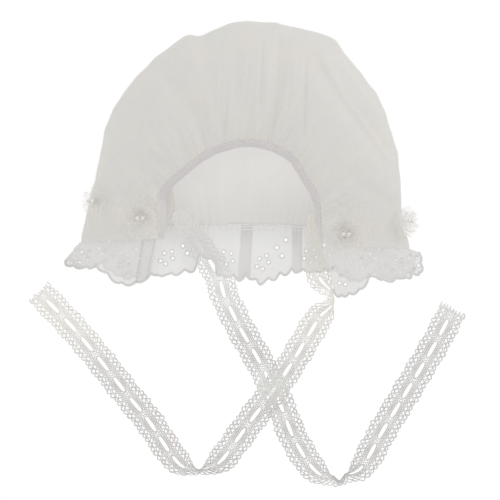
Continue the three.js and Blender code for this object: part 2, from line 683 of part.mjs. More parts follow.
addPiece('crown', crownUpper, finishes.crown);
addPiece('crown_under', crownUnder, finishes.crown);
addPiece('nape_band', napeBand(), finishes.band);
addPiece('ruffle_left', asGeometry(ruffleLeft), finishes.frill);
addPiece('ruffle_far', asGeometry(ruffleFar), finishes.frill);
addPiece('ruffle_right', asGeometry(ruffleRight), finishes.frill);
addPiece('tie_left', laceTie(TIE_LEFT_ROUTE, TIE_LACE.left), finishes.lace);
addPiece('tie_right', laceTie(TIE_RIGHT_ROUTE, TIE_LACE.right), finishes.lace);
for (const flower of FLOWERS) {
  const frame = flowerFrame(flower);
  addPiece(`flower_${flower.name}`, setOn(flowerBody(flower), frame), finishes.organza);
  for (let i = 0; i < flower.pearls; i += 1) {
    const angle = (2 * Math.PI * i) / flower.pearls;
    const ring = (PEARL.radius + PEARL.gap) / Math.sin(Math.PI / flower.pearls);
    const pearl = new THREE.SphereGeometry(PEARL.radius, PEARL.sides, PEARL.bands);
    const rise = FLOWER_PROFILE[FLOWER_PROFILE.length - 1].height + PIECE_GAP + PEARL.radius;
    pearl.translate(ring * Math.cos(angle), ring * Math.sin(angle), rise);
    addPiece(`pearl_${flower.name}_${i + 1}`, setOn(pearl, frame), finishes.pearl);
  }
}

// The origin is under the middle of the whole thing, on the surface that it lies on
const box = new THREE.Box3().setFromObject(bonnet);
const middle = box.getCenter(point(0, 0));
bonnet.position.set(-middle.x, -middle.y, 0);

export default bonnet;
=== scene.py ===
# A baby's gathered bonnet of white cotton under sheer organza, lying nape up, with two lace ties laid out.
# Places and sizes are in millimetres on the pattern that the solids use; framed() turns them into metres.
import math

import bmesh
import bpy
import numpy as np
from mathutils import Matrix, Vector


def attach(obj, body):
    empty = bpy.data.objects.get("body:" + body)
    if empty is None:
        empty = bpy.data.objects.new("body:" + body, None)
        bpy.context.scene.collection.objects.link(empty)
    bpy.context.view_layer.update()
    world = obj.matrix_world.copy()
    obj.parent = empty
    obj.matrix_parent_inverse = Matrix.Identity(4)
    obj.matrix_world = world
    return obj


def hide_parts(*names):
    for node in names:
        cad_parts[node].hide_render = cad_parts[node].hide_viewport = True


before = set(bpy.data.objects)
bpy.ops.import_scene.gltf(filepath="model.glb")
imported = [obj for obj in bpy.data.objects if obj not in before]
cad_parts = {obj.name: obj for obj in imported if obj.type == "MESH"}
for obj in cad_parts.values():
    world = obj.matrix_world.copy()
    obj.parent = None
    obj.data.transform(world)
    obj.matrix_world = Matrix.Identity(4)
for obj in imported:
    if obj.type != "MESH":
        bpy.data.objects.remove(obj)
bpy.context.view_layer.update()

# The table: a pale glowing surface under even white light, seen from straight above with a long lens.
# The photograph is 500 pixels of 0.65 mm across.
PATTERN_TO_FRAME = np.array([-0.337, 0.226, 0.0])
PHOTO_WIDTH = 325.0
PHOTO_MIDDLE = np.array([1.95, 2.6, 0.0])
CAMERA_HEIGHT = 3000.0
SHARP_HEIGHT = 6.0
SENSOR = 36.0
FLOOR_SIZE = 3.0
FLOOR_DROP = 0.0003


def framed(places):
    """Pattern places in millimetres as frame places in metres."""
    return (np.asarray(places, float) + PATTERN_TO_FRAME) / 1000.0


bpy.ops.object.select_all(action="DESELECT")
bpy.ops.mesh.primitive_plane_add(size=FLOOR_SIZE, location=(0, 0, -FLOOR_DROP))
floor = bpy.context.object
floor.name = "table"
table_finish = bpy.data.materials.new("pale table")
table_finish.use_nodes = True
for socket, value in (
    ("Base Color", (0.12, 0.12, 0.12, 1)), ("Roughness", 0.9), ("Specular IOR Level", 0.0),
    ("Emission Color", (1, 1, 1, 1)), ("Emission Strength", 0.92),
):
    table_finish.node_tree.nodes["Principled BSDF"].inputs[socket].default_value = value
floor.data.materials.append(table_finish)

camera_data = bpy.data.cameras.new("camera above")
camera_data.sensor_width = SENSOR
camera_data.lens = SENSOR * (CAMERA_HEIGHT - SHARP_HEIGHT) / PHOTO_WIDTH
camera_data.clip_end = 20.0
camera = bpy.data.objects.new("camera above", camera_data)
camera.location = framed(PHOTO_MIDDLE + np.array([0, 0, CAMERA_HEIGHT]))
bpy.context.scene.collection.objects.link(camera)
bpy.context.scene.camera = camera
bpy.context.scene.view_settings.view_transform = "Standard"

sky = bpy.data.worlds.new("even light")
sky.use_nodes = True
sky.node_tree.nodes["Background"].inputs["Color"].default_value = (1, 1, 1, 1)
sky.node_tree.nodes["Background"].inputs["Strength"].default_value = 0.8
bpy.context.scene.world = sky
# One row for each soft lamp: name, place in metres, size and power
LAMPS = [
    ("key lamp", (0.95, 0.8, 0.8), 0.6, 4.4),
    ("low lamp", (-1.1, -0.3, 0.55), 0.6, 1.6),
]
for name, place, size, power in LAMPS:
    lamp = bpy.data.objects.new(name, bpy.data.lights.new(name, "AREA"))
    lamp.data.shape = "DISK"
    lamp.data.size = size
    lamp.data.energy = power
    lamp.location = place
    lamp.rotation_euler = (-Vector(place)).to_track_quat("-Z", "Y").to_euler()
    bpy.context.scene.collection.objects.link(lamp)

# The crown: one piece of fine cotton batiste. It is drawn up in small gathers round the nape arch, runs out to
# the fold at its outline and back underneath to the hem, so that its inside shows through the arch.
CLOTH_WALL = 1.4
PIECE_GAP = 0.45
TUCKED_IN = 1.3
SEAM_DIP = {"depth": 0.5, "reach": 0.018}
BAND_WIDTH = 5.6
NAPE_ARCH = [
    (-55.4, 9.6), (-55.8, 24), (-54.8, 38.5), (-42.3, 51.6), (-22.4, 65.7), (3.3, 71.5), (27.6, 62.4),
    (37, 49), (44.2, 36.5), (46.4, 20), (49, 3.6),
]
CROWN_OUTLINE = [
    (-109, 8), (-105, 28), (-99.5, 50), (-95.6, 69), (-91, 87), (-83.9, 100), (-72.8, 115.7), (-54, 132.6),
    (-39, 142.6), (-31, 142.8), (-12, 150.4), (3, 152), (20, 150.4), (43, 145.4), (56.6, 140.4),
    (67.6, 126.5), (77.5, 114.5), (87.5, 99.5), (93.4, 84), (98.4, 66), (100.4, 48), (102, 26), (106.5, 4),
]
CROWN_HEM = [
    (-104.5, 9.2), (-88, 13.5), (-60, 17.5), (-20, 18.8), (30, 18.2), (62, 15.2), (88, 9.4), (102.5, 5.2),
]
# Share of the way round the arch, and height of the dome there
CROWN_HEIGHTS = [
    (0, 15), (0.07, 18.5), (0.16, 27), (0.3, 37), (0.5, 42), (0.7, 37), (0.84, 27), (0.93, 18.5), (1, 15),
]
# Share of the reach from the arch to the outline, and share of the dome's height
CROWN_PROFILE = [
    (0, 0.82), (0.1, 0.92), (0.24, 0.985), (0.42, 1), (0.62, 0.9), (0.8, 0.7), (0.93, 0.46), (1, 0.22),
    (0.985, 0.07), (0.945, 0),
]
# Long soft folds: where each starts and ends, half its width and its depth
CROWN_FOLDS = [
    ((48, 116), (94, 60), 6, 3), ((-58, 122), (-26, 78), 6, 2), ((-88, 66), (-58, 58), 6, 2.2),
    ((-8, 140), (-6, 84), 5, 2.2), ((24, 138), (17, 82), 5, 2.4), ((66, 50), (92, 34), 5, 1.6),
]
# Long thin creases that run up from the band: the same, with ridges where the depth is below zero
CREASES = [
    ((9.8, 139), (7.2, 80), 1.3, 1.26), ((13.6, 128), (11.4, 84), 1.2, -0.98),
    ((-12.4, 112), (-14.3, 80), 1.3, 1.12), ((21, 146), (16.5, 82), 1.5, 1.12),
    ((37.7, 126), (36.2, 74), 1.3, 1.26), ((-18.4, 132), (-19.8, 78), 1.1, -0.84),
    ((39.8, 84), (36, 66), 1.6, -1.4), ((46, 132.6), (62, 102), 2.4, -1.45),
    ((62, 102), (93, 60), 2.6, -1.6), ((53.5, 146), (68, 116), 2, -1.6),
    ((68, 116), (90, 84), 2.2, -1.75), ((67, 41.6), (54, 28.6), 1.6, 1.54),
    ((-66, 72), (-47, 57), 1.8, -1.4), ((-68, 62), (-66, 44), 1.6, 0.98), ((2, 128), (-3, 84), 1.4, 0.7),
    ((28, 120), (25, 78), 1.4, 0.84), ((-36, 136), (-52, 128), 2.4, 1.12),
]
FOLD_TAPER = 0.15
GATHERS = {"count": 15, "depth": 1.0, "peak": 0.12}
# Smaller gathers: how many go round, depth, share of the reach where they are deepest, and their slant
SMALL_GATHERS = [(31, 0.42, 0.15, 0.012), (52, 0.26, 0.09, -0.016), (88, 0.16, 0.045, 0.02)]
CROWN_COLUMNS = 440
CROWN_ROWS = {"upper": 104, "turn": 14, "under": 46}
COTTON_DROP = 0.5
UNDER_LIFT = 0.35


def unit(ways):
    return ways / (np.linalg.norm(ways, axis=-1, keepdims=True) + 1e-12)


def between(x, xs, table):
    """Each column of a table at x."""
    return np.stack([np.interp(x, xs, column) for column in table.T], -1)


def shares(rows, columns, first=0):
    """Shares of the way down and across a grid."""
    return np.meshgrid(np.linspace(0, 1, rows), np.linspace(first, 1, columns), indexing="ij")


def smooth_line(places, steps=48):
    """Close points on the smooth curve through some places, and how far along the list each one is."""

    def blend(a, b, start, end):
        return ((end - t) * a + (t - start) * b) / (end - start)

    given = np.array(places, float)
    knots = np.concatenate([[2 * given[0] - given[1]], given, [2 * given[-1] - given[-2]]])
    points, rows = [], []
    for i in range(1, len(knots) - 2):
        p0, p1, p2, p3 = knots[i - 1 : i + 3]
        t1, t2, t3 = np.cumsum(np.sqrt(np.linalg.norm(np.diff(knots[i - 1 : i + 3], axis=0), axis=1)))
        part = np.arange(steps) / steps
        t = (t1 + (t2 - t1) * part)[:, None]
        a1, a2, a3 = blend(p0, p1, 0, t1), blend(p1, p2, t1, t2), blend(p2, p3, t2, t3)
        points.append(blend(blend(a1, a2, 0, t2), blend(a2, a3, t1, t3), t1, t2))
        rows.append(i - 1 + part)
    points.append(given[-1:])
    rows.append([len(given) - 1])
    return np.concatenate(points), np.concatenate(rows)


class Line:
    """A smooth curve, read by the share of its length."""

    def __init__(self, places):
        self.points, self.rows = smooth_line(places)
        steps = np.linalg.norm(np.diff(self.points, axis=0), axis=1)
        self.lengths = np.concatenate([[0], np.cumsum(steps)])
        self.length = self.lengths[-1]

    def at(self, share):
        return between(np.clip(share, 0, 1) * self.length, self.lengths, self.points)

    def row_at(self, share):
        return np.interp(np.clip(share, 0, 1) * self.length, self.lengths, self.rows)

    def tangent(self, share, step=0.004):
        return unit(self.at(np.minimum(1, share + step)) - self.at(np.maximum(0, share - step)))


def eased(rows, x, column=1):
    """A column of a table at x, on a smooth curve with no overshoot."""
    xs = np.array([row[0] for row in rows], float)
    ys = np.array([row[column] for row in rows], float)
    slopes = np.diff(ys) / np.diff(xs)
    product = slopes[1:] * slopes[:-1]
    inner = np.where(product > 0, 2 * product / (slopes[1:] + slopes[:-1] + 1e-12), 0)
    tangents = np.concatenate([slopes[:1], inner, slopes[-1:]])
    place = np.clip(np.searchsorted(xs, x, side="right") - 1, 0, len(xs) - 2)
    width = xs[place + 1] - xs[place]
    t = np.clip((x - xs[place]) / width, 0, 1)
    start = (1 + 2 * t) * (1 - t) ** 2 * ys[place] + t * (1 - t) ** 2 * width * tangents[place]
    return start + t**2 * (3 - 2 * t) * ys[place + 1] + t**2 * (t - 1) * width * tangents[place + 1]


def wander(x, y, size, seed):
    """A smooth irregular value between about -1 and 1 over the plane, with bumps of a size in millimetres."""
    random = np.random.default_rng(seed)
    total = 0
    for turn in range(7):
        angle = random.uniform(0, math.tau)
        pitch = size * random.uniform(0.7, 1.6)
        waves = (x * math.cos(angle) + y * math.sin(angle)) / pitch
        total = total + np.sin(math.tau * waves + random.uniform(0, math.tau))
    return total / 3.2


ARCH = Line([(x, y, 0) for x, y in NAPE_ARCH])
OUTLINE = Line([(x, y, 0) for x, y in CROWN_OUTLINE])
HEM = Line([(x, y, 0) for x, y in CROWN_HEM])
PROFILE, _ = smooth_line([(reach * 100, height * 100) for reach, height in CROWN_PROFILE])
PROFILE = PROFILE / 100
PROFILE_TURN = int(np.argmax(PROFILE[:, 0]))


def arch_outward(around):
    along = ARCH.tangent(around)
    return np.stack([-along[..., 1], along[..., 0], np.zeros_like(around)], -1)


def fold_drop(places):
    drop = 0
    for start, end, width, depth in CROWN_FOLDS + CREASES:
        along = np.subtract(end, start)
        away = places[..., :2] - np.array(start)
        share = np.clip(away @ along / (along @ along), 0, 1)
        distance = np.linalg.norm(away - share[..., None] * along, axis=-1)
        taper = np.sin(math.pi * (FOLD_TAPER + (1 - 2 * FOLD_TAPER) * share))
        drop = drop + depth * taper * np.exp(-((distance / width) ** 2))
    return drop


def crown_place(around, reach, height_share):
    start = ARCH.at(around) + arch_outward(around) * (BAND_WIDTH / 2 + PIECE_GAP - TUCKED_IN)
    place = start + (OUTLINE.at(around) - start) * reach[..., None]
    place[..., 2] = height_share * eased(CROWN_HEIGHTS, around)
    return place


def gather_height(around, reach):
    """How far the cloth stands up or sinks in its gathers."""
    share = reach / GATHERS["peak"] * np.exp(1 - reach / GATHERS["peak"])
    height = GATHERS["depth"] * share * np.cos(math.tau * GATHERS["count"] * around)
    busy = 0.75 + 0.45 * np.exp(-(((around - 0.56) / 0.16) ** 2))
    for count, depth, peak, slant in SMALL_GATHERS:
        share = (reach + 0.25 * peak) / peak * np.exp(1 - (reach + 0.25 * peak) / peak)
        uneven = 0.012 * np.sin(math.tau * (3.3 * around + count)) + slant * reach
        height = height + depth * busy * share * np.cos(math.tau * count * (around + uneven))
    return height


def crown_grid(columns, drop, seed):
    """The upper layer from the arch to the fold: share round, reach and place of each point of a grid."""
    top = np.interp(np.linspace(0, PROFILE_TURN, CROWN_ROWS["upper"]), np.arange(len(PROFILE)), PROFILE[:, 0])
    height = np.interp(top, PROFILE[: PROFILE_TURN + 1, 0], PROFILE[: PROFILE_TURN + 1, 1])
    reach = np.repeat(top[:, None], columns, 1)
    around = shares(len(top), columns)[1]
    places = crown_place(around, reach, np.repeat(height[:, None], columns, 1))
    calm = np.clip((1 - reach) / 0.16, 0, 1)
    lift = gather_height(around, reach) - fold_drop(places)
    lift = lift + 0.5 * wander(places[..., 0], places[..., 1], 26, seed) * np.clip(reach / 0.2, 0, 1)
    lift = lift - SEAM_DIP["depth"] * np.exp(-reach / SEAM_DIP["reach"])
    places[..., 2] += calm * lift - drop
    inward = unit((ARCH.at(around) - places) * [1, 1, 0])
    edge = wander(around * 430, 0 * around, 17, seed + 1)
    places += inward * ((1 - calm) * (drop + 0.5 + 0.5 * edge))[..., None]
    return around, reach, places


def sheet_faces(rows, columns):
    corner = (np.arange(rows - 1)[:, None] * columns + np.arange(columns - 1)[None, :]).ravel()
    return np.stack([corner, corner + 1, corner + columns + 1, corner + columns], -1)


def dressed(piece, slot, *nodes):
    """Fix a piece to the body, in the place of the solids that it stands for."""
    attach(piece, "root")
    if nodes:
        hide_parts(*nodes)
    return piece


def new_piece(name, points, faces, uv, material, slot, *nodes):
    """A mesh piece at the origin, from pattern places."""
    mesh = bpy.data.meshes.new(name)
    groups = faces if isinstance(faces, list) else [faces]
    used = np.unique(np.concatenate([group.ravel() for group in groups]))
    order = np.zeros(used.max() + 1, int)
    order[used] = np.arange(len(used))
    corners = [corner for group in groups for corner in order[group].tolist()]
    mesh.from_pydata(framed(points.reshape(-1, 3)[used]).tolist(), [], corners)
    mesh.polygons.foreach_set("use_smooth", [True] * len(mesh.polygons))
    loops = np.zeros(len(mesh.loops), int)
    mesh.loops.foreach_get("vertex_index", loops)
    mesh.uv_layers.new(name="cloth").data.foreach_set("uv", uv.reshape(-1, 2)[used][loops].ravel())
    mesh.materials.append(material)
    piece = bpy.data.objects.new(name, mesh)
    bpy.context.scene.collection.objects.link(piece)
    return dressed(piece, slot, *nodes)


class Socket:
    """A node's output that takes part in sums. A number beside it is used as it is."""

    def __init__(self, finish, output):
        self.finish, self.output = finish, output

    def sum(self, operation, other, turned=False):
        pair = (other, self) if turned else (self, other)
        return self.finish.node("ShaderNodeMath", {"operation": operation}, {0: pair[0], 1: pair[1]})

    def __add__(self, other): return self.sum("ADD", other)
    def __radd__(self, other): return self.sum("ADD", other, True)
    def __sub__(self, other): return self.sum("SUBTRACT", other)
    def __rsub__(self, other): return self.sum("SUBTRACT", other, True)
    def __mul__(self, other): return self.sum("MULTIPLY", other)
    def __rmul__(self, other): return self.sum("MULTIPLY", other, True)

    def clear(self, low, high):
        """0 under low and 1 over high, smooth between."""
        settings = {"interpolation_type": "SMOOTHSTEP"}
        ends = {"Value": self, "From Min": low, "From Max": high}
        return self.finish.node("ShaderNodeMapRange", settings, ends)


class Finish:
    """A material on one Principled shader."""

    def __init__(self, name, roughness, **constants):
        self.material = bpy.data.materials.new(name)
        self.material.use_nodes = True
        self.tree = self.material.node_tree
        self.shader = self.tree.nodes["Principled BSDF"]
        self.shader.inputs["Roughness"].default_value = roughness
        for socket, value in constants.items():
            self.shader.inputs[socket.replace("_", " ")].default_value = value

    def node(self, kind, settings=None, inputs=None, output=0):
        made = self.tree.nodes.new(kind)
        for setting, value in (settings or {}).items():
            setattr(made, setting, value)
        for socket, value in (inputs or {}).items():
            if isinstance(value, Socket):
                self.tree.links.new(value.output, made.inputs[socket])
            else:
                made.inputs[socket].default_value = value
        return Socket(self, made.outputs[output])

    def feed(self, socket, value):
        self.tree.links.new(value.output, self.shader.inputs[socket])

    def uv(self):
        return self.node("ShaderNodeUVMap", {"uv_map": "cloth"})

    def place(self):
        return self.node("ShaderNodeTexCoord", {}, {}, "Object")

    def noise(self, at, scale, detail=2.0):
        return self.node("ShaderNodeTexNoise", {}, {"Vector": at, "Scale": scale, "Detail": detail})

    def weave(self, at, scale):
        """Threads that cross over and under: 1 on a thread's back, 0 in a gap."""
        settings = {"wave_type": "BANDS", "bands_direction": "X", "wave_profile": "SIN"}
        ends = {"Vector": at, "Scale": scale}
        warp = self.node("ShaderNodeTexWave", settings, ends)
        weft = self.node("ShaderNodeTexWave", {**settings, "bands_direction": "Y"}, ends)
        return warp, weft

    def mix(self, share, first, second):
        """One colour into another by a share."""
        made = self.tree.nodes.new("ShaderNodeMix")
        made.data_type = "RGBA"
        for name, value in (("Factor", share), ("A", first), ("B", second)):
            found = [s for s in made.inputs if s.name == name and s.enabled][0]
            if isinstance(value, Socket):
                self.tree.links.new(value.output, found)
            else:
                found.default_value = value
        return Socket(self, [s for s in made.outputs if s.enabled][0])

    def colour(self, value, glow):
        """A colour that varies, and a painted glow of it, as a share of it, standing in for light through thin
        cloth.
        """
        self.feed("Base Color", value)
        self.feed("Emission Color", value)
        self.shader.inputs["Emission Strength"].default_value = glow

    def bump(self, height, strength, distance):
        sizes = {"Height": height, "Strength": strength, "Distance": distance}
        self.feed("Normal", self.node("ShaderNodeBump", {}, sizes, "Normal"))

    def along_y(self, low, high):
        """0 below one Y of the object and 1 above another, in metres."""
        return self.node("ShaderNodeSeparateXYZ", {}, {"Vector": self.place()}, 1).clear(low, high)


THREAD_SCALE = 0.42


def cotton_finish(name, light, shade, glow, alpha, weave_strength, painted_shade=None):
    """Fine woven cotton with a painted glow: crossing threads, small slubs and a slow drift from warm to cool
    white.

    The painted shade is a darker colour painted in where shade falls, and how far along Y it is reached and
    where it starts, in metres.
    """
    cloth = Finish(name, 0.86, Sheen_Weight=0.1, Sheen_Roughness=0.5, Specular_IOR_Level=0.2)
    at = cloth.uv()
    warp, weft = cloth.weave(at, THREAD_SCALE)
    stretched = cloth.node("ShaderNodeMapping", {}, {"Vector": at, "Scale": (0.35, 2.4, 1)})
    slubs = cloth.noise(stretched, 0.9, 3.0)
    drift = cloth.noise(at, 0.045, 3.0)
    tone = cloth.mix(drift.clear(0.32, 0.7), (*light, 1), (*shade, 1))
    if painted_shade:
        colour, reached, start = painted_shade
        tone = cloth.mix(1 - cloth.along_y(reached, start), tone, (*colour, 1))
    cloth.colour(tone, glow)
    cloth.feed("Roughness", 0.8 + 0.12 * slubs)
    cloth.bump((warp + weft) * 0.5 + slubs * 0.8, weave_strength, 0.00012)
    gaps = (warp * weft).clear(0.0, 0.35)
    cloth.feed("Alpha", alpha - 0.06 + 0.06 * gaps)
    return cloth.material


batiste = cotton_finish("cotton batiste", (0.498, 0.482, 0.465), (0.476, 0.477, 0.462), 0.48, 0.95, 0.2)
# The inside has a stronger painted glow, and painted shade that darkens it towards the hem, from Y 62 mm down
# to 14 mm.
lining_cotton = cotton_finish(
    "cotton batiste inside", (0.475, 0.47, 0.457), (0.468, 0.456, 0.44), 0.8, 0.95, 0.2,
    ((0.382, 0.374, 0.36), 0.014, 0.062),
)

around, reach, upper = crown_grid(CROWN_COLUMNS, COTTON_DROP, 4)
turn_share = np.linspace(0, 1, CROWN_ROWS["turn"] + 1)[1:]
turn_rows = PROFILE_TURN + turn_share * (len(PROFILE) - 1 - PROFILE_TURN)
turn_form = between(turn_rows, np.arange(len(PROFILE)), PROFILE)[:, None]
turn_reach, turn_height = np.moveaxis(np.repeat(turn_form, CROWN_COLUMNS, 1), -1, 0)
turned = crown_place(np.repeat(around[:1], CROWN_ROWS["turn"], 0), turn_reach, turn_height)
fold_line = crown_place(around[-1:], reach[-1:], np.full((1, CROWN_COLUMNS), PROFILE[PROFILE_TURN, 1]))
turned += (upper[-1] - fold_line[0]) * (1 - turn_share[:, None, None])
turned[..., 2] = np.maximum(turned[..., 2], UNDER_LIFT)
under_share = np.linspace(0, 1, CROWN_ROWS["under"] + 1)[1:, None, None]
hem_line = HEM.at(around[0])
under = turned[-1] + (hem_line - turned[-1]) * under_share
puckers = 0.5 + 0.5 * np.cos(math.tau * (46 * around[:1] + 0.6 * np.sin(9 * around[:1])))
near_hem = np.exp(-((1 - under_share[..., 0]) / 0.16))
soft = wander(under[..., 0] * 1.5, under[..., 1] * 0.5, 22, 9)
under[..., 2] = UNDER_LIFT + 0.5 * puckers * near_hem
under[..., 2] += 0.55 * (1 + soft) * np.clip(under_share[..., 0] * 4, 0, 1)
under = np.concatenate([turned[-1:], under])
cotton_places = np.concatenate([upper, turned])
steps_down = np.linalg.norm(np.diff(cotton_places, axis=0, prepend=cotton_places[:1]), axis=-1)
lengths_down = np.median(np.cumsum(steps_down, axis=0), axis=1)


def crown_uv(lengths):
    """Width round the crown and length out from the arch, in millimetres of cloth."""
    return np.stack(np.broadcast_arrays(np.linspace(0, 430, CROWN_COLUMNS)[None], lengths[:, None]), -1)


cotton_faces = sheet_faces(len(cotton_places), CROWN_COLUMNS)
cotton = new_piece(
    "crown_cotton", cotton_places, cotton_faces, crown_uv(lengths_down), batiste, "crown_cloth", "crown"
)
inside_uv = crown_uv(lengths_down[-1] + np.linspace(0, 95, len(under)))
inside_faces = sheet_faces(len(under), CROWN_COLUMNS)
inside = new_piece("crown_inside", under, inside_faces, inside_uv, lining_cotton, "crown_cloth", "crown_under")

# The overlay: sheer organza over the upper layer of the crown, gathered into the same seam round the arch.
# It stands a little off the cotton, and its own folds are crisper.
OVERLAY_LIFT = 0.5


def organza_finish(name, colour, glow, alpha):
    """Sheer stiff organza with a painted glow: a fine open grid of threads with a soft sheen."""
    sheer = Finish(name, 0.5, Sheen_Weight=0.25, Sheen_Roughness=0.35, Specular_IOR_Level=0.35)
    at = sheer.uv()
    warp, weft = sheer.weave(at, THREAD_SCALE)
    drift = sheer.noise(at, 0.12, 3.0)
    warm = (colour[0], colour[1] * 0.985, colour[2] * 0.93, 1)
    sheer.colour(sheer.mix(drift.clear(0.45, 0.7), (*colour, 1), warm), glow)
    sheer.feed("Alpha", alpha * (0.72 + 0.28 * (warp + weft) * 0.5) + 0.1 * (drift - 0.5))
    sheer.bump((warp + weft) * 0.5, 0.2, 0.0001)
    return sheer.material


organza = organza_finish("sheer organza", (0.5, 0.489, 0.464), 0.5, 0.3)
over_around, over_reach, over = crown_grid(CROWN_COLUMNS, -0.1, 21)
crease = wander(over_around * 300, over_reach * 26, 12, 33)
over[..., 2] += (OVERLAY_LIFT + 0.45 * np.abs(crease)) * np.clip((1 - over_reach) / 0.1, 0, 1)
over_uv = np.stack([over_around * 430, over_reach * 90], -1)
over_faces = sheet_faces(len(over), CROWN_COLUMNS)
overlay = new_piece("crown_organza", over, over_faces, over_uv, organza, "crown_cloth")

# The nape band: a narrow casing of the same cotton round the arch. Elastic inside it draws it up into close
# even pleats, so that it looks darker than the cloth round it. The shade in the pleats' creases is painted in.
BAND = {"thickness": 2.8, "tip": 0.35, "pleats": 176, "pleat_depth": 0.7, "rings": 1300, "sides": 14}
# Share of the way round, how strongly the pleats are drawn up there, and shares of the full width and thickness
BAND_ENDS = [
    (0, 0.05, 0.5, 0.25), (0.04, 0.1, 1.1, 0.34), (0.11, 0.3, 1.4, 0.55), (0.17, 0.9, 1, 0.9),
    (0.22, 1, 1, 1), (0.8, 1, 1, 1), (0.88, 0.8, 0.8, 0.8), (0.94, 0.5, 0.6, 0.6), (1, 0.1, 0.22, 0.2),
]


def tube_rings(middle, side, up, half_width, half_height, sides):
    """Rings of points round a line: an oval section with its own width and height at each place."""
    angles = np.arange(sides) / sides * math.tau
    across = side[:, None, :] * (half_width[:, None] * np.cos(angles))[..., None]
    return middle[:, None, :] + across + up[:, None, :] * (half_height[:, None] * np.sin(angles))[..., None]


def tube_faces(rings, sides, first=0, closed=False):
    ring = np.arange(rings if closed else rings - 1)[:, None]
    corner = np.arange(sides)[None, :]
    after = (corner + 1) % sides
    onward = (ring + 1) % rings
    corners = ring * sides + corner, ring * sides + after, onward * sides + after, onward * sides + corner
    return first + np.stack(np.broadcast_arrays(*corners), -1).reshape(-1, 4)


band_around = np.linspace(0, 1, BAND["rings"])
band_middle = ARCH.at(band_around)
band_middle[:, 2] = CROWN_PROFILE[0][1] * eased(CROWN_HEIGHTS, band_around) - CLOTH_WALL
band_side = unit(arch_outward(band_around) + np.array([0, 0, BAND["tip"]]))
band_up = unit(-np.cross(band_side, ARCH.tangent(band_around)))
irregular = 0.35 * np.sin(37 * band_around) + 0.2 * np.sin(91 * band_around)
pleat_phase = math.tau * (BAND["pleats"] * band_around + irregular)
pleat = np.abs(np.cos(pleat_phase / 2)) ** 0.6
drawn_up = eased(BAND_ENDS, band_around, 1)
uneven = 1 + 0.07 * wander(band_around * 200, 0 * band_around, 6, 13) * drawn_up
sunk = BAND["pleat_depth"] * drawn_up * (1 - pleat)
half_width = eased(BAND_ENDS, band_around, 2) * uneven * (BAND_WIDTH / 2 - 0.5 * sunk)
half_height = eased(BAND_ENDS, band_around, 3) * (BAND["thickness"] / 2 - sunk)
band_rings = tube_rings(band_middle, band_side, band_up, half_width, half_height, BAND["sides"])
PLEAT_WIDTH = 2.3
run = pleat_phase[:, None] / math.tau * PLEAT_WIDTH
band_uv = np.stack(np.broadcast_arrays(run, np.arange(BAND["sides"])[None] * 0.9), -1)
casing = Finish("shirred casing", 0.88, Sheen_Weight=0.1, Specular_IOR_Level=0.2)
casing_warp, casing_weft = casing.weave(casing.uv(), THREAD_SCALE)
casing_drift = casing.noise(casing.place(), 130.0, 3.0)
along_band = casing.node("ShaderNodeSeparateXYZ", {}, {"Vector": casing.uv()})
crest = casing.node("ShaderNodeMath", {"operation": "COSINE"}, {0: along_band * (math.pi / PLEAT_WIDTH)})
crease = 1 - casing.node("ShaderNodeMath", {"operation": "ABSOLUTE"}, {0: crest}).clear(0.0, 0.75)
worn_tone = casing.mix(casing_drift.clear(0.35, 0.65), (0.5, 0.476, 0.474, 1), (0.476, 0.456, 0.456, 1))
# Painted shade: the pleats' creases are darker. From Y 36 mm down to 18 mm, towards the band's ends, this gives
# way to one plain tone.
crease_shaded_tone = casing.mix(crease * 0.62, worn_tone, (0.4, 0.372, 0.376, 1))
casing.colour(casing.mix(1 - casing.along_y(0.018, 0.036), crease_shaded_tone, (0.47, 0.452, 0.438, 1)), 0.42)
casing.bump((casing_warp + casing_weft) * 0.5, 0.3, 0.0001)
band_faces = tube_faces(BAND["rings"], BAND["sides"])
band = new_piece("nape_casing", band_rings, band_faces, band_uv, casing.material, "nape_casing", "nape_band")

# The frill: a strip of fine cotton lawn with cut eyelets, gathered on to the whole face opening. Its free edge
# is cut in scallops. On the far layer it lies on the table, and at the sides it turns up on to the near layer.
SCALLOPS = 13
# Scallops from the left neck corner, share of the way along the face opening, and place of the edge
RUFFLE_EDGE = [
    (0, 0, -62, -11.5, 8.4), (0.5, 0.05, -77.4, -13.6, 8.2), (1, 0.095, -93, -10.6, 8),
    (1.5, 0.13, -106.4, -5, 7.4), (1.95, 0.155, -115, -1.6, 5.8), (2.15, 0.168, -117, -1, 3.2),
    (2.3, 0.178, -115.6, -2.2, 0.6), (2.5, 0.192, -111, -4.6, 0), (3, 0.23, -98, -8, 0),
    (4, 0.305, -72, -9.4, 0), (5, 0.391, -40.5, -10, 0), (6, 0.479, -8.4, -12.8, 0),
    (7, 0.567, 22.6, -11, 0), (8, 0.656, 54, -10, 0), (9, 0.75, 83, -9, 0), (9.9, 0.815, 107, -5, 0),
    (10.08, 0.828, 110.4, -0.2, 0.6), (10.2, 0.836, 110.8, 2.4, 3), (10.36, 0.845, 110.2, 0, 5.8),
    (10.75, 0.864, 107.6, -7.4, 7.4), (11.2, 0.886, 101, -11, 8), (11.8, 0.918, 85.6, -13, 8.4),
    (12.4, 0.958, 68, -18.8, 8.4), (13, 1, 54.6, -15.5, 8.6),
]
# How deep one wave of the frill is at its edge, the room that its seam keeps from the hem, and how far the
# scalloped edge is carried along past the eyelets, in scallops
RUFFLE_FORM = [
    (0, 1.2, 0.9, 0), (1.2, 1.2, 0.9, 0.2), (1.8, 1.2, 0.9, 0), (2.6, 1, 0.5, 0), (3.6, 1, 0.5, 0.2),
    (4.25, 1.8, 0.5, 0.25), (4.8, 2.4, 0.5, 0.25), (6.25, 2.4, 0.5, 0.25), (7.4, 2.4, 0.5, 0.2),
    (8.2, 1, 0.5, 0.1), (9, 1, 0.5, 0), (9.8, 1, 0.5, 0), (10.6, 1.2, 0.9, 0), (13, 1.2, 0.9, 0),
]
SCALLOP = {"depth": 7, "lobes": 4, "lobe_depth": 1.9}
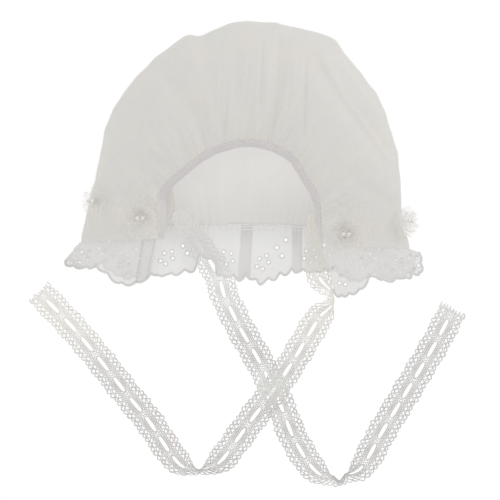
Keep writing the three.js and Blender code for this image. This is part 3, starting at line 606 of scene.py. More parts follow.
# How much shorter the frill hangs than its even scallops: scallop and millimetres. It is turned under from 5.2
# to 5.66, behind the left tie.
EDGE_TRIM = [
    (0, 0), (0.3, 0.5), (0.6, 1.3), (0.8, 3), (1, 5.5), (1.2, 3.5), (1.5, 4.5), (1.95, 4), (2.15, 3),
    (2.3, 3), (2.5, 4), (3, 5.5), (3.5, 4), (3.9, 1), (4.25, 1), (4.39, 2.6), (4.5, 2.2), (4.67, 5),
    (4.82, 4.6), (5, 6.2), (5.19, 4), (5.26, 12), (5.34, 15), (5.6, 15), (5.66, 7), (5.75, 6.3),
    (5.93, 6.3), (6.14, 1.5), (6.26, 1), (6.44, 2.6), (6.54, 0), (6.7, 3.2), (6.86, 3), (6.96, 5.2),
    (7.1, 3.4), (7.25, 3.2), (7.36, 5.8), (7.47, 7), (7.8, 7), (8.2, 3), (8.6, 0.2), (9.9, 0.1), (10, 3),
    (10.2, 5), (10.36, 4.5), (10.6, 1), (10.9, -1), (11.2, 0), (11.4, 2.5), (11.65, 1), (11.8, 2),
    (11.9, 4.5), (12, 3), (12.2, 1), (12.5, 0), (12.7, -3), (12.85, -5.5), (13, -7.5),
]
FRILL_GRID = {"columns": 60, "rows": 58, "tucked": 0.06}
FRILL_SKIN = 0.25
EYELET = {"along": 0.59, "down": 0.62, "ring": 4.2, "petals": 5, "petal_radius": 1.02, "single_radius": 1.2}
# How much further along the eyelets of one scallop lie, and the single eyelets that its folds hide
EYELET_SHIFT = {5: 0.24}
HIDDEN_EYELETS = [(4, 1.07), (5, 0.88), (5, 1.07), (5, 1)]
# Single eyelets beside each flower of eyelets: scallops past its start, and share of the way down
SINGLE_EYELETS = [(0.88, 0.4), (1.07, 0.27), (1, 0.62)]
SEAM_GATHERS = {"count": 9, "depth": 0.3, "reach": 0.3}
SATIN = {
    "rim": 0.48, "rim_height": 0.3, "edge": 0.85, "edge_height": 0.4, "ridge": 0.14,
    "heading": 0.42, "heading_ridge": 0.45,
}
HEADING_ROWS = [-0.03, 0.02, 0.07]
FAR_SCALLOPS = (2.7, 9.5)
# Small tucks where the frill is folded over itself: first and last scallop, and how far it stands up
TUCKS = [(0.06, 0.3, 0.2), (6.08, 6.34, 0.5), (7.2, 7.42, 0.5)]

left_side = crown_place(np.zeros(len(PROFILE)), PROFILE[:, 0], PROFILE[:, 1])
right_side = crown_place(np.ones(len(PROFILE)), PROFILE[:, 0], PROFILE[:, 1])[::-1]
face_edge = np.concatenate([left_side, HEM.at(np.linspace(0, 1, 200)), right_side])
face_lengths = np.concatenate([[0], np.cumsum(np.linalg.norm(np.diff(face_edge, axis=0), axis=1))])


def ruffle_grid(scallop, down, lift=0.0):
    """Places on the frill's face, by scallops along it and share of the way down, and the normals there."""
    share = eased(RUFFLE_EDGE, scallop, 1)
    cut = scallop - np.interp(scallop, [row[0] for row in RUFFLE_FORM], [row[3] for row in RUFFLE_FORM])
    hem = between(share * face_lengths[-1], face_lengths, face_edge)
    edge = np.stack([eased(RUFFLE_EDGE, scallop, column) for column in (2, 3, 4)], -1)
    along = unit(edge - hem)
    start = hem + along * eased(RUFFLE_FORM, scallop, 2)[..., None]
    arc = np.sqrt(np.abs(np.sin(math.pi * cut)))
    lobe = np.abs(np.sin(math.pi * SCALLOP["lobes"] * cut)) ** 0.8
    shorter = eased(EDGE_TRIM, scallop)
    edge = edge + along * (SCALLOP["depth"] * arc + SCALLOP["lobe_depth"] * lobe - shorter)[..., None]
    places = start + (edge - start) * down[..., None]
    backwards = np.sign(np.gradient(scallop, axis=1))[..., None]
    normals = unit(np.cross(np.gradient(places, axis=1) * backwards, np.gradient(places, axis=0)))
    wave = 0.5 - 0.5 * np.cos(math.tau * scallop)
    gathers = np.cos(math.tau * (SEAM_GATHERS["count"] * scallop + 0.4 * np.sin(5 * scallop)))
    depth = eased(RUFFLE_FORM, scallop, 1) * down * wave + FRILL_SKIN
    depth = depth + SEAM_GATHERS["depth"] * (0.6 + gathers) * np.exp(-down / SEAM_GATHERS["reach"])
    depth = depth + 0.35 * (1 + wander(scallop * 31, down * 12, 13, 5)) + lift
    places = places - normals * depth[..., None]
    places[..., 2] = np.maximum(places[..., 2], 0.12)
    return places, -normals


def tucked_columns():
    """Scallops of the frill's columns in order, and how far each stands up where the frill is folded over."""
    scallops, lifts, reached = [], [], 0
    for first, last, height in TUCKS:
        steps = int((last - first) * FRILL_GRID["columns"])
        plain = np.linspace(reached, first, int((first - reached) * FRILL_GRID["columns"]) + 1)[:-1]
        onward = np.linspace(first, last, steps)
        swing = np.concatenate([onward[:-1], onward[:0:-1], onward[:-1]])
        turns = [0, steps * 0.9, steps * 1.1, steps * 1.9, steps * 2.1, len(swing)]
        rise = np.interp(np.arange(len(swing)), turns, [0, 0, 0.5, 0.5, 1, 0.6])
        scallops += [plain, swing]
        lifts += [0 * plain, rise * height]
        reached = last
    plain = np.linspace(reached, SCALLOPS, int((SCALLOPS - reached) * FRILL_GRID["columns"]) + 1)
    lifts = np.concatenate(lifts + [0 * plain])
    fade = np.convolve(lifts, np.ones(9) / 9, mode="same")
    return np.concatenate(scallops + [plain]), fade


def eyelet_holes():
    """The eyelets as scallop, share down, sideways and downward offsets in millimetres, and radius."""
    holes = []
    for scallop in range(SCALLOPS):
        start = scallop + EYELET_SHIFT.get(scallop, 0)
        for petal in range(EYELET["petals"]):
            angle = math.tau * petal / EYELET["petals"]
            sideways, downward = EYELET["ring"] * math.sin(angle), EYELET["ring"] * math.cos(angle)
            holes.append((start + EYELET["along"], EYELET["down"], sideways, downward, EYELET["petal_radius"]))
        for past, down in SINGLE_EYELETS:
            if (scallop, past) not in HIDDEN_EYELETS:
                holes.append((start + past, down, 0, 0, EYELET["single_radius"]))
    return [hole for hole in holes if hole[0] < SCALLOPS - 0.1]


columns_at, column_lifts = tucked_columns()
scallop_grid = np.repeat(columns_at[None], FRILL_GRID["rows"], 0)
down_grid = np.repeat(np.linspace(-FRILL_GRID["tucked"], 1, FRILL_GRID["rows"])[:, None], len(columns_at), 1)
frill, frill_normals = ruffle_grid(scallop_grid, down_grid, -column_lifts[None])
frill_shape = scallop_grid.shape
frill_flat = frill.reshape(-1, 3)
frill_inside = np.zeros(len(frill_flat), bool)
rims = []
for scallop, down, sideways, downward, radius in eyelet_holes():
    column = int(np.clip(np.argmin(np.abs(columns_at - scallop)), 1, frill_shape[1] - 2))
    row = int(np.argmin(np.abs(down_grid[:, 0] - down)))
    across = frill[row, column + 1] - frill[row, column - 1]
    downhill = frill[row + 1, column] - frill[row - 1, column]
    middle = frill[row, column] + unit(across) * sideways + unit(downhill) * downward
    nearest = int(np.argmin(np.linalg.norm(frill_flat - middle, axis=1)))
    away = frill_flat - middle
    distance = np.linalg.norm(away, axis=1)
    touched = (distance > radius - 0.3) & (distance < radius + 0.26)
    frill_flat[touched] = middle + away[touched] / distance[touched][:, None] * radius
    frill_inside |= distance < radius - 0.3
    rims.append((middle, frill_normals.reshape(-1, 3)[nearest], unit(across), radius))
frill_faces = sheet_faces(*frill_shape)
frill_faces = frill_faces[~frill_inside[frill_faces].any(1)]
frill_uv = np.stack([scallop_grid * 36, down_grid * 30], -1)
# Painted shade: the lawn darkens from Y 1 mm up to 18 mm, towards its seam under the crown's hem.
lawn = cotton_finish(
    "eyelet lawn", (0.508, 0.504, 0.496), (0.489, 0.485, 0.476), 0.5, 0.8, 0.16,
    ((0.452, 0.448, 0.44), 0.018, 0.001),
)
frill_nodes = ("ruffle_left", "ruffle_far", "ruffle_right")
ruffle = new_piece("eyelet_frill", frill_flat, frill_faces, frill_uv, lawn, "eyelet_cotton", *frill_nodes)


def threads(lines, half_width, half_height, sides, ridge=0.0, closed=False):
    """Points and faces of thread tubes along lines: each is its places, its normals and any swelling."""
    points, faces, caps, uvs, count = [], [], [], [], 0
    for number, (middle, up, *swell) in enumerate(lines):
        ahead = np.roll(middle, -1, 0) - np.roll(middle, 1, 0) if closed else np.gradient(middle, axis=0)
        ahead = unit(ahead)
        side = unit(np.cross(ahead, up))
        stitch = (swell[0] if swell else 1) * (1 - ridge * (np.arange(len(middle)) % 2))
        over = np.cross(side, ahead)
        rings = tube_rings(middle, side, over, half_width * stitch, half_height * stitch, sides)
        points.append(rings.reshape(-1, 3))
        faces.append(tube_faces(len(middle), sides, count, closed))
        run = np.arange(len(middle))[:, None] * 0.5 + number * 7.3
        uvs.append(np.stack(np.broadcast_arrays(run, np.arange(sides)[None] / sides), -1).reshape(-1, 2))
        ring = np.arange(sides)
        caps.append([count + ring[::-1], count + (len(middle) - 1) * sides + ring])
        count += len(middle) * sides
    groups = [np.concatenate(faces)] if closed else [np.concatenate(faces), np.concatenate(caps)]
    return np.concatenate(points), groups, np.concatenate(uvs)


def joined(*parts):
    """Several sets of points, faces and UVs as one."""
    starts = np.cumsum([0] + [len(part[0]) for part in parts])
    groups = [group + start for part, start in zip(parts, starts) for group in part[1]]
    return np.concatenate([part[0] for part in parts]), groups, np.concatenate([part[2] for part in parts])


def thread_finish(name, light, shade, glow, roughness, upper=None, painted_light_and_stains=()):
    """Matte cotton thread with a painted glow: a close twist along each thread and a slow change of tone.

    Upper is a paler colour of painted light, and where along Y it starts and is reached, in metres. Each of the
    painted light and stains is a spot of painted light or shade, or a real stain: a colour, its middle, and how
    far round it the colour is full and where it ends.
    """
    thread = Finish(name, roughness, Sheen_Weight=0.1, Specular_IOR_Level=0.3)
    bands = {"wave_type": "BANDS", "bands_direction": "DIAGONAL"}
    twist = thread.node("ShaderNodeTexWave", bands, {"Vector": thread.uv(), "Scale": 0.9, "Distortion": 0.6})
    drift = thread.noise(thread.place(), 60.0, 3.0)
    tone = thread.mix(drift.clear(0.35, 0.68), (*light, 1), (*shade, 1))
    if upper:
        colour, start, reached = upper
        tone = thread.mix(thread.along_y(start, reached), tone, (*colour, 1))
    for colour, middle, full, ended in painted_light_and_stains:
        ends = {0: thread.place(), 1: middle}
        away = thread.node("ShaderNodeVectorMath", {"operation": "DISTANCE"}, ends, "Value")
        tone = thread.mix(away.clear(full, ended), (*colour, 1), tone)
    thread.colour(tone, glow)
    thread.bump(twist, 0.35, 0.0001)
    return thread.material


satin = thread_finish("satin stitch", (0.425, 0.42, 0.411), (0.4, 0.395, 0.387), 0.62, 0.55)
rim_lines = []
ring_angles = np.linspace(0, math.tau, 26, endpoint=False)
for middle, normal, across, radius in rims:
    across = unit(across - normal * (across @ normal))
    round_way = np.cos(ring_angles)[:, None] * across + np.sin(ring_angles)[:, None] * np.cross(normal, across)
    circle = middle + (radius + SATIN["rim"] * 0.55) * round_way
    rim_lines.append((circle, np.repeat(normal[None], len(circle), 0)))
all_columns = np.arange(frill_shape[1])
edge_columns = np.linspace(0, all_columns[-1], 1300)
edge_line = between(edge_columns, all_columns, frill[-1])
edge_normals = between(edge_columns, all_columns, frill_normals[-2])
edge_line[:, 2] = np.maximum(edge_line[:, 2], SATIN["edge_height"] + 0.05)
heading_columns = np.arange(*np.searchsorted(columns_at, FAR_SCALLOPS), 0.7)
heading = []
for down in HEADING_ROWS:
    row = int(np.argmin(np.abs(down_grid[:, 0] - down)))
    places, normals = (between(heading_columns, all_columns, grid[row]) for grid in (frill, frill_normals))
    heading.append((places + normals * 0.2, normals))
rim_satin = thread_finish("eyelet stitch", (0.45, 0.446, 0.436), (0.428, 0.423, 0.414), 0.64, 0.55)
heading_cotton = thread_finish("gathering stitches", (0.55, 0.545, 0.532), (0.525, 0.52, 0.506), 0.51, 0.8)
edge_lines = [(edge_line, edge_normals)]
trimmings = [
    new_piece(name, *threads(lines, SATIN[width], SATIN[height], sides, ridge, closed), finish, "eyelet_cotton")
    for name, lines, width, height, sides, ridge, closed, finish in (
        ("eyelet_stitching", rim_lines, "rim", "rim_height", 6, SATIN["ridge"], True, rim_satin),
        ("scallop_stitching", edge_lines, "edge", "edge_height", 8, SATIN["ridge"], False, satin),
        ("frill_heading", heading, "heading", "rim_height", 5, SATIN["heading_ridge"], False, heading_cotton),
    )
]

# The ties: two flat ribbons of cotton bobbin lace. A ladder of slots runs down the middle between two close
# bands of net, and an open net of larger holes with a scalloped edge of small loops is on each side.
# Where the middle of each slot lies along the tie, from its seam
TIE_SLOTS = {
    "left": [
        27, 42.9, 60, 77, 92.8, 108.7, 125.6, 143.6, 160.4, 176.6, 192.4, 210, 227, 243.4, 258.8, 274.6, 289.6,
        305, 320.8, 336.8,
    ],
    "right": [
        32, 48, 63.8, 79.4, 95.2, 111, 128.6, 146.4, 163.2, 181.4, 198, 216.4, 231.8, 247.4, 263.4, 280.4,
        297.4, 313.9, 330.4, 347.2,
    ],
}
# Middle of the ribbon, how far its lowest edge is above the table, how far it is turned in degrees, and how far
# its middle bows out sideways where it stands on edge
TIE_ROUTES = {
    "left": [
        (-46.5, 28, 9, 0, 0), (-40.6, 19.6, 6, 0, 0), (-34, 9.6, 4.6, 0, 0), (-27.8, 1, 4.2, 0, 0),
        (-22, -8, 4.2, 0, 0), (-17.6, -17, 3.8, 0, 0), (-14.8, -27, 0.8, 0, 0), (-10.1, -37, 0, 0, 0),
        (-4.6, -48, 0, 0, 0), (3, -61, 1.2, 0, 0), (10.6, -74.5, 2, 0, 0), (18.2, -90, 2, 0, 0),
        (24.2, -104, 2, 0, 0), (28.4, -115.5, 0.8, 0, 0), (34.4, -127, 0, 4, 0), (40.6, -136.6, 0, 14, 0),
        (47.4, -144.6, 0, 38, -3), (54, -149.4, 0, 74, -6), (60.6, -150.4, 0, 92, -3.2),
        (67, -147.6, 0, 78, -6), (73, -141.6, 0, 40, -3), (79.4, -131.6, 0, 8, 0), (87, -117.6, 0, 0, 0),
        (98.2, -99, 0, 0, 0), (110.6, -78.6, 0, 0, 0), (122.4, -58.6, 0, 0, 0), (133.4, -37.8, 0, 0, 0),
    ],
    "right": [
        (42, 27, 9, 0, 0), (42.2, 17, 6.4, 0, 0), (43, 6.6, 4.6, 0, 0), (44.4, -4, 4.2, 0, 0),
        (46.6, -14, 3.6, 16, 0), (50, -23, 1.2, 58, -4.4), (51.6, -30, 0, 95, -5),
        (50, -36, 0, 140, -4.4), (46, -43, 0, 174, 0), (39.6, -53.6, 0, 180, 0), (31.4, -67.4, 0, 180, 0),
        (22, -81.8, 0, 180, 0), (11.6, -96.4, 0, 180, 0), (1, -110.6, 0, 180, 0), (-9, -124.4, 0, 182, 0),
        (-16.4, -134.2, 0, 190, 0), (-23, -139.8, 0, 222, 3.4), (-30.4, -142.8, 0, 266, 2.8),
        (-37.2, -141.6, 0, 232, 3.4), (-43.2, -137.6, 0, 202, 1), (-49, -131, 0, 186, 0),
        (-54.8, -122.6, 0, 182, 0), (-64, -108.6, 0, 180, 0), (-78.4, -91, 0, 180, 0),
        (-96.2, -68.4, 0, 180, 0), (-114.6, -46.6, 0, 180, 0), (-134.2, -26.2, 0, 180, 0),
    ],
}
TIE = {
    "half": 9.5, "scallop": 0.8, "wall": 1.2, "clearance": 0.12, "slot_half_length": 5.8, "slot_half": 1.3,
    "knob": 0.6, "knob_pitch": 5.6,
}
# The net: where its rows of meshes lie from the middle, their pitches, and half the widths of its threads
NET = {
    "close_rows": [1.45, 2.9, 4.3], "close_mesh": 1.45, "open_middle": 6.7, "open_mesh": 3.4, "bar_mesh": 1.75,
    "fine": 0.24, "coarse": 0.32, "flatness": 0.55, "over": 0.14, "picot": 1.2, "past": 0.55, "uneven": 0.12,
    "loose": 0.3,
}
# Close patches of net beside the middle of each slot: how much thicker the threads are, and half the length
PATCH = {"swell": 0.4, "reach": 3.6}
# How far along each tie it is pinched together at its seam: millimetres, and share of its full width
PINCH = {
    "left": [(0, 0.25), (4, 0.5), (12, 0.72), (25, 0.88), (40, 1), (400, 1)],
    "right": [(0, 0.25), (12, 0.34), (21, 0.46), (30, 0.64), (40, 0.95), (46, 1), (400, 1)],
}
# Round its lower fold each tie's outer half is crushed together: by how much, and over what length
FOLD_CRUSH = {"share": 0.55, "reach": 13}


class Ribbon:
    """A lace ribbon laid on its route: places by distance along, sideways, and off its face."""

    def __init__(self, route, slots, pinch):
        self.line = Line([(x, y, 0) for x, y, *_ in route])
        self.length = self.line.length
        self.slots, self.pinch = np.array(slots, float), np.array(pinch, float)
        self.lifts = [row[2] for row in route]
        self.turns = [row[3] for row in route]
        self.bows = [row[4] for row in route]
        steps = np.linspace(0, 1, 700)
        self.fold_at = steps[np.argmin(self.line.at(steps)[:, 1])] * self.length

    def fullness(self, along):
        """1 at the middle of a slot and 0 between two."""
        slots = self.slots
        known = np.concatenate([[2 * slots[0] - slots[1]], slots, [2 * slots[-1] - slots[-2]]])
        return 0.5 + 0.5 * np.cos(math.tau * np.interp(along, known, np.arange(len(known))))

    def from_slot(self, along):
        """Distance to the middle of the nearest slot."""
        return np.abs(along[:, None] - self.slots).min(1)

    def place(self, along, across, off=0.0):
        share = along / self.length
        row = self.line.row_at(share)
        rows = np.arange(len(self.turns))
        turn = np.radians(np.interp(row, rows, self.turns))
        middle = self.line.at(share)
        ahead = self.line.tangent(share)
        side = unit(np.stack([ahead[..., 1], -ahead[..., 0], 0 * ahead[..., 0]], -1))
        up = np.array([0, 0, 1.0])
        cos, sin = np.cos(turn)[..., None], np.sin(turn)[..., None]
        across_way, face = side * cos + up * sin, up * cos - side * sin
        lowest = TIE["half"] * np.abs(np.sin(turn)) + TIE["wall"] / 2 * np.abs(np.cos(turn))
        middle[..., 2] = np.interp(row, rows, self.lifts) + lowest + TIE["clearance"]
        across = np.asarray(across)
        bow = np.interp(row, rows, self.bows) * np.sin(turn) ** 2 * (1 - (across / TIE["half"]) ** 2)
        across = across * np.interp(along, *self.pinch.T)
        crushed = FOLD_CRUSH["share"] * np.exp(-(((along - self.fold_at) / FOLD_CRUSH["reach"]) ** 2))
        across = across - np.maximum(across, 0) * crushed
        places = middle + side * bow[..., None] + across_way * across[..., None]
        return places + face * np.asarray(off)[..., None], face


def outer_edge(ribbon, along):
    """How far out the ribbon's outer thread lies, with a scallop for each slot and uneven knobs."""
    knobs = TIE["knob"] * (0.5 - 0.5 * np.sin(math.tau * along / TIE["knob_pitch"] + 1.3 * np.sin(along / 9)))
    return TIE["half"] - TIE["scallop"] * (1 - ribbon.fullness(along)) - knobs


def net_pair(ribbon, along, low, high, mesh, over, start=0.0):
    """Two mirrored threads that cross once for each mesh, and so make a row of meshes between two lines."""
    swing = np.cos(math.pi * (along / mesh + start))
    slack = NET["loose"] if mesh == NET["open_mesh"] else NET["uneven"]
    loose = slack * (np.sin(0.83 * along + 3 * start + 5 * over) + 0.6 * np.sin(1.71 * along + low))
    middle, reach = (low + high) / 2 + loose, (high - low) / 2
    return [ribbon.place(along, middle + sign * reach * swing, sign * over + 0 * along) for sign in (-1, 1)]


def lace_lines(ribbon):
    """The threads of a tie, coarse and fine, each as places and face normals."""
    coarse, fine = [], []
    end = ribbon.length
    close_steps = np.arange(0, end, NET["close_mesh"] / 2.5)
    open_steps = np.arange(0, end, NET["open_mesh"] / 5)
    for side in (-1, 1):
        for row, (low, high) in enumerate(zip(NET["close_rows"][:-1], NET["close_rows"][1:])):
            over = NET["over"] * (1 if row % 2 else -1)
            pair = net_pair(ribbon, close_steps, side * low, side * high, NET["close_mesh"], over, 0.5 * row)
            away = ribbon.from_slot(close_steps) / PATCH["reach"]
            fine += [(*line, 1 + PATCH["swell"] * np.exp(-away**2)) for line in pair]
        low, middle = side * NET["close_rows"][-1], side * NET["open_middle"]
        coarse += net_pair(ribbon, open_steps, low, middle, NET["open_mesh"], NET["over"])
        picot = NET["picot"] * np.abs(np.cos(math.pi * (open_steps / NET["open_mesh"] + 0.5))) ** 0.7
        edge = outer_edge(ribbon, open_steps) + NET["past"] - NET["coarse"] - NET["picot"] + picot
        coarse += net_pair(ribbon, open_steps, middle, side * edge, NET["open_mesh"], NET["over"], 0.5)
        coarse.append(ribbon.place(open_steps, side * edge, 0 * edge))
    rounds = np.append(np.linspace(0, math.tau, 20, endpoint=False), 0)
    sin, cos = np.sin(rounds), np.cos(rounds)
    across = (TIE["slot_half"] + NET["fine"]) * np.sign(sin) * np.abs(sin) ** 0.6
    past_middle = (TIE["slot_half_length"] + NET["fine"]) * np.sign(cos) * np.abs(cos) ** 0.7
    coarse += [ribbon.place(slot + past_middle, across) for slot in ribbon.slots]
    ends = np.concatenate([[0], ribbon.slots, [end + TIE["slot_half_length"]]])
    for before, after in zip(ends[:-1], ends[1:]):
        first = before + TIE["slot_half_length"] * (before > 0)
        along = np.arange(first, after - TIE["slot_half_length"] + 0.1, NET["bar_mesh"] / 2)
        half = NET["close_rows"][0]
        fine += net_pair(ribbon, along, -half, half, NET["bar_mesh"], NET["over"])
    return coarse, fine


def frayed_end(ribbon, seed):
    """The cut end: thick loose threads that splay out, with finer ones between them."""
    random = np.random.default_rng(seed)
    lines = []
    ahead = ribbon.line.tangent(np.array([1.0]))[0]
    reach = np.linspace(0, 1, 6)
    last = np.full(6, ribbon.length - 0.2)
    for number, across in enumerate(np.linspace(-8.9, 8.9, 33)):
        thick = number % 4 == 0
        length = random.uniform(2.2, 3.4) if thick else random.uniform(0.6, 2.2)
        swerve = random.uniform(-1.2, 1.2)
        start, face = ribbon.place(last, across + swerve * reach**2 + random.uniform(-0.2, 0.2))
        lift = np.array([0, 0, 1]) * (random.uniform(-0.1, 0.5) * np.sin(math.pi * reach))[:, None]
        swell = 1.5 + 0.4 * reach if thick else 1 - 0.4 * reach
        lines.append((start + ahead * (length * reach)[:, None] + lift, face, swell))
    return lines


# Painted light: the lace is paler towards the cap, where light comes through from the cloth, and where the ties
# cross
UPPER_LACE = {
    "left": ((0.472, 0.469, 0.455), -0.065, -0.008), "right": ((0.485, 0.47, 0.443), -0.09, -0.035),
}
CROSSING_LIGHT = ((0.45, 0.447, 0.43), (0.0155, -0.0855, 0.002), 0.006, 0.017)
# Painted shade: it is darker at the folds, where it lies double, and the left tie in the shade of the arch. The
# right tie has two faint rusty stains, near its free end and at its fold
FOLD_SHADE = (0.33, 0.327, 0.322)
LACE_SHADE_AND_STAINS = {
    "left": [
        (FOLD_SHADE, (0.066, -0.147, 0.008), 0.006, 0.018),
        ((0.438, 0.434, 0.422), (-0.0275, 0.004, 0.006), 0.009, 0.022),
    ],
    "right": [
        (FOLD_SHADE, (-0.028, -0.142, 0.008), 0.006, 0.018),
        ((0.405, 0.362, 0.345), (-0.0485, -0.1205, 0.001), 0.0015, 0.0055),
        ((0.37, 0.345, 0.33), (-0.0205, -0.138, 0.003), 0.001, 0.005),
    ],
}
for name, route in TIE_ROUTES.items():
    tie_finish = thread_finish(
        f"lace thread {name}", (0.389, 0.384, 0.3775), (0.371, 0.3645, 0.354), 0.66, 0.85, UPPER_LACE[name],
        [CROSSING_LIGHT, *LACE_SHADE_AND_STAINS[name]],
    )
    ribbon = Ribbon(route, TIE_SLOTS[name], PINCH[name])
    coarse, fine = lace_lines(ribbon)
    net = joined(
        threads(coarse, NET["coarse"], NET["coarse"] * NET["flatness"], 4),
        threads(fine + frayed_end(ribbon, len(name)), NET["fine"], NET["fine"] * NET["flatness"], 4),
    )
    tie = new_piece(f"lace_tie_{name}", *net, tie_finish, "tie_lace", f"tie_{name}")

# The neck turning: at the left neck corner the cotton is turned in under the band's end, and shows inside the
# arch as a small soft flap over the sewn end of the left tie.
TURNING_OUTER = [(-57, 44, 13), (-57.4, 34, 11.6), (-57.6, 24, 9.4), (-57, 12, 8.2)]
TURNING_INNER = [(-47.4, 46.5, 9.6), (-48.2, 41.2, 9), (-46.6, 30, 7.4), (-50.6, 21.5, 7), (-54.4, 13.4, 7.6)]
TURNING_TOP = [12.6, 10.4]
TURNING_GRID = {"down": 50, "across": 24, "roundness": 4}

down, across = shares(TURNING_GRID["down"], TURNING_GRID["across"])
outer, inner = Line(TURNING_OUTER).at(down), Line(TURNING_INNER).at(down)
flap = outer * (1 - across)[..., None] + inner * across[..., None]
bulge = 1 - np.abs(2 * across - 1) ** TURNING_GRID["roundness"]
flap[..., 2] += (TURNING_TOP[0] + (TURNING_TOP[1] - TURNING_TOP[0]) * down - flap[..., 2]) * bulge
flap[..., 2] += 0.6 * wander(across * 9 + down * 3, down * 8, 6, 3) * bulge
# Painted shade: the turned-in cotton is the crown's batiste in a darker, warmer tone, as it lies in shade at
# the neck corner.
shaded_turned_cotton = cotton_finish("turned-in cotton", (0.46, 0.443, 0.42), (0.43, 0.42, 0.395), 0.46, 0.93, 0.2)
turning_uv = np.stack([across * 10, down * 34], -1)
turning_faces = sheet_faces(*flap.shape[:2])
turning = new_piece("neck_turning", flap, turning_faces, turning_uv, shaded_turned_cotton, "crown_cloth")

# The flowers: frayed organza petals in three tiers, sewn to the cheeks and to the folds, with two small glossy
# pearls in the heart of each.
# Share of the way round the crown, share of its reach, radius, and how far the flower stands off the cloth
FLOWERS = [
    ("left", 0.068, 0.25, 19, 2.2), ("right", 0.956, 0.27, 19, 2.2),
    ("edge_left", 0.07, 0.86, 9, 1.2), ("edge_right", 0.957, 0.95, 10, 1.2),
]
FLOWER_TOP = 5.2
HEART_LIFT = 0.8
PEARL = {"radius": 1.3, "gap": 0.4, "hole": 0.22, "rim": 0.03, "sunk": 0.72, "count": 2}
# One row for each tier: petals, share of the radius, width share, rise at the tip, and how far it cups. The
# last two are for a flower of the pattern's radius
PATTERN_RADIUS = 19
TIERS = [(5, 1.12, 0.62, 0.5, 1.6), (5, 0.82, 0.6, 2.2, 1.8), (4, 0.5, 0.62, 3.6, 1.6)]
EDGE_TIERS = [(6, 1.15, 0.6, 1.5, 2), (5, 0.95, 0.6, 6, 2.5), (5, 0.7, 0.6, 11, 2)]
# The cheek flowers' petals and the edge flowers', each with the flat size of the strip that they are cut from
KINDS = {"cheek": (TIERS, (0.08, 0.04)), "edge": (EDGE_TIERS, (0.04, 0.03))}
FRINGE = {"threads": 15, "radius": 0.065}
PETAL_GRID = {"along": 26, "across": 22}
SMALL_STEP = 0.02
crown_top = [row for i, row in enumerate(CROWN_PROFILE) if i == 0 or row[0] > CROWN_PROFILE[i - 1][0]]


def crown_seat(around, reach):
    """Where a flower sits on the crown, and the axes of its disc."""
    reaches = np.array([row[0] for row in crown_top])
    heights = np.array([row[1] for row in crown_top])

    def at(a, r):
        return crown_place(np.array([a]), np.array([r]), np.interp([r], reaches, heights))[0]

    sideways = at(around + SMALL_STEP, reach) - at(around - SMALL_STEP, reach)
    outward = at(around, reach + SMALL_STEP) - at(around, reach - SMALL_STEP)
    normal = unit(np.cross(sideways, outward))
    turn = Vector((0, 0, 1)).rotation_difference(Vector(normal)).to_matrix()
    return at(around, reach), np.array(turn)


def petal(angle, length, width, rise, cup, random):
    """One ruffled petal from the heart outwards, with a ragged tip, in the flower's own axes."""
    along, across = shares(PETAL_GRID["along"], PETAL_GRID["across"], -1)
    ragged = 1 + 0.07 * random.uniform(-1, 1, PETAL_GRID["across"])[None]
    x = length * along * ragged * (1 - 0.16 * across**2 * along)
    half = length * width * np.sin(math.pi * (0.16 + 0.62 * along)) * 0.72
    phase, folds = random.uniform(0, math.tau), random.uniform(2.2, 3.4)
    height = rise * along**1.5 + cup * np.sin(math.pi * along * 0.6) * (0.35 + 0.65 * across**2)
    height = height + 0.9 * along * np.sin(folds * across * 2 + phase + 2 * along)
    y = across * half + 0.6 * along * np.sin(5 * along + phase)
    cos, sin = math.cos(angle), math.sin(angle)
    return np.stack([x * cos - y * sin, x * sin + y * cos, height], -1)


# Painted light: the petals and the bunched cloth have a dim colour with a strong painted glow, so that they
# keep an even tone and do not turn dark where they lie stacked at the heart.
petal_cloth = organza_finish("frayed organza", (0.25, 0.243, 0.232), 2.0, 0.17)
bunched_cloth = organza_finish("frayed organza, bunched up", (0.25, 0.247, 0.24), 2.0, 0.34)
fray = thread_finish("frayed organza thread", (0.425, 0.416, 0.4), (0.39, 0.38, 0.362), 0.88, 0.6)
# The brown thread that holds the pearls, dark enough to stand in also for the shade round them: stitches round
# them, their distances and half their thickness
STITCHES = {"count": 13, "near": 2.0, "far": 5.4, "half": 0.17}
stitch_thread = thread_finish("pearl thread", (0.4, 0.36, 0.31), (0.33, 0.295, 0.25), 0.5, 0.7)
pearl_gloss = Finish("pearl", 0.2, Metallic=0.25, Coat_Weight=0.8, Coat_Roughness=0.06, Specular_IOR_Level=0.7)
pearl_drift = pearl_gloss.noise(pearl_gloss.place(), 900.0, 2.0)
pearl_tone = pearl_gloss.mix(pearl_drift.clear(0.4, 0.65), (0.8, 0.79, 0.77, 1), (0.72, 0.7, 0.68, 1))
pearl_gloss.feed("Base Color", pearl_tone)

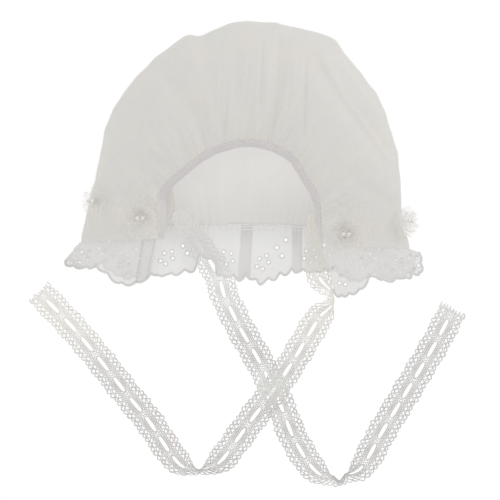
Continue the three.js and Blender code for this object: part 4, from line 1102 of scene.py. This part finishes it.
for number, (name, around_share, reach_share, radius, stand) in enumerate(FLOWERS):
    on_cheek = not name.startswith("edge")
    tiers, petal_cut = KINDS["cheek" if on_cheek else "edge"]
    size = radius / PATTERN_RADIUS
    random = np.random.default_rng(50 + number)
    seat, turn = crown_seat(around_share, reach_share)
    origin = seat + turn @ np.array([0, 0, stand])
    grids, fringe = [], []
    for petals, length_share, width, rise, cup in tiers:
        start = random.uniform(0, math.tau)
        for i in range(petals):
            angle = start + math.tau * (i + random.uniform(-0.12, 0.12)) / petals
            length = radius * length_share * random.uniform(0.88, 1.06)
            grid = petal(angle, length, width, rise * size, cup * size, random)
            grid[..., 2] += HEART_LIFT
            grids.append(grid @ turn.T + origin)
            outer = grid[-1]
            for tip in np.linspace(0, len(outer) - 1, FRINGE["threads"]).astype(int):
                way = unit(outer[tip] - grid[-4, tip]) + random.uniform(-0.5, 0.5, 3) * [1, 1, 0.8]
                spike = outer[tip] + way * (random.uniform(0.3, 1.9) * size * np.linspace(-0.3, 1, 4))[:, None]
                fringe.append((spike @ turn.T + origin, np.repeat(turn[:, 2][None], 4, 0)))
    one = sheet_faces(PETAL_GRID["along"], PETAL_GRID["across"])
    corners = PETAL_GRID["along"] * PETAL_GRID["across"]
    petal_faces = np.concatenate([one + corners * i for i in range(len(grids))])
    rows, columns = shares(PETAL_GRID["along"], PETAL_GRID["across"])
    petal_uv = np.tile(np.stack([columns, rows], -1).reshape(-1, 2) * radius, (len(grids), 1))
    cloth = bunched_cloth if name == "edge_right" else petal_cloth
    petal_mesh = np.concatenate(grids), petal_faces, petal_uv
    flower = new_piece(f"petals_{name}", *petal_mesh, cloth, "flower_organza", f"flower_{name}")
    fray_threads = threads(fringe, FRINGE["radius"], FRINGE["radius"], 3)
    frays = new_piece(f"fray_{name}", *fray_threads, fray, "flower_organza")
    arcs = []
    for i in range(STITCHES["count"] if on_cheek else 0):
        distance = STITCHES["near"] + (STITCHES["far"] - STITCHES["near"]) * random.uniform(0, 1) ** 1.6
        turned_by = random.uniform(0, math.tau) + np.linspace(-0.5, 0.5, 7) * random.uniform(0.5, 1.1)
        rise = FLOWER_TOP - 0.1 * distance + 0.3 * np.cos(np.linspace(-1.4, 1.4, 7))
        arc = np.stack([distance * np.cos(turned_by), distance * np.sin(turned_by), rise], -1)
        arcs.append((arc @ turn.T + origin, np.repeat(turn[:, 2][None], 7, 0)))
    if arcs:
        stitches = threads(arcs, STITCHES["half"], STITCHES["half"], 4)
        new_piece(f"pearl_thread_{name}", *stitches, stitch_thread, "flower_organza")
    ring = (PEARL["radius"] + PEARL["gap"]) / math.sin(math.pi / PEARL["count"])
    for i in range(PEARL["count"]):
        angle = math.tau * i / PEARL["count"]
        height = FLOWER_TOP + PIECE_GAP + PEARL["radius"]
        local = np.array([ring * math.cos(angle), ring * math.sin(angle), height])
        bpy.ops.object.select_all(action="DESELECT")
        bpy.ops.mesh.primitive_uv_sphere_add(
            segments=28, ring_count=22, radius=PEARL["radius"] / 1000, location=framed(turn @ local + origin),
            rotation=(0, math.pi / 2, angle),
        )
        pearl = bpy.context.object
        pearl.name = f"bead_{name}_{i + 1}"
        bpy.ops.object.mode_set(mode="EDIT")
        bpy.ops.mesh.select_all(action="DESELECT")
        bpy.ops.mesh.select_mode(type="FACE")
        mesh = bmesh.from_edit_mesh(pearl.data)
        for face in mesh.faces:
            face.select_set(math.hypot(*face.calc_center_median().xy) * 1000 < PEARL["hole"])
        bmesh.update_edit_mesh(pearl.data)
        bpy.ops.mesh.inset(thickness=PEARL["rim"] / 1000)
        bpy.ops.transform.resize(value=[PEARL["sunk"]] * 3, center_override=pearl.location)
        bpy.ops.object.mode_set(mode="OBJECT")
        bpy.ops.object.shade_smooth()
        bpy.ops.object.transform_apply(location=True, rotation=True, scale=True)
        pearl.data.materials.append(pearl_gloss.material)
        dressed(pearl, "pearl", f"pearl_{name}_{i + 1}")
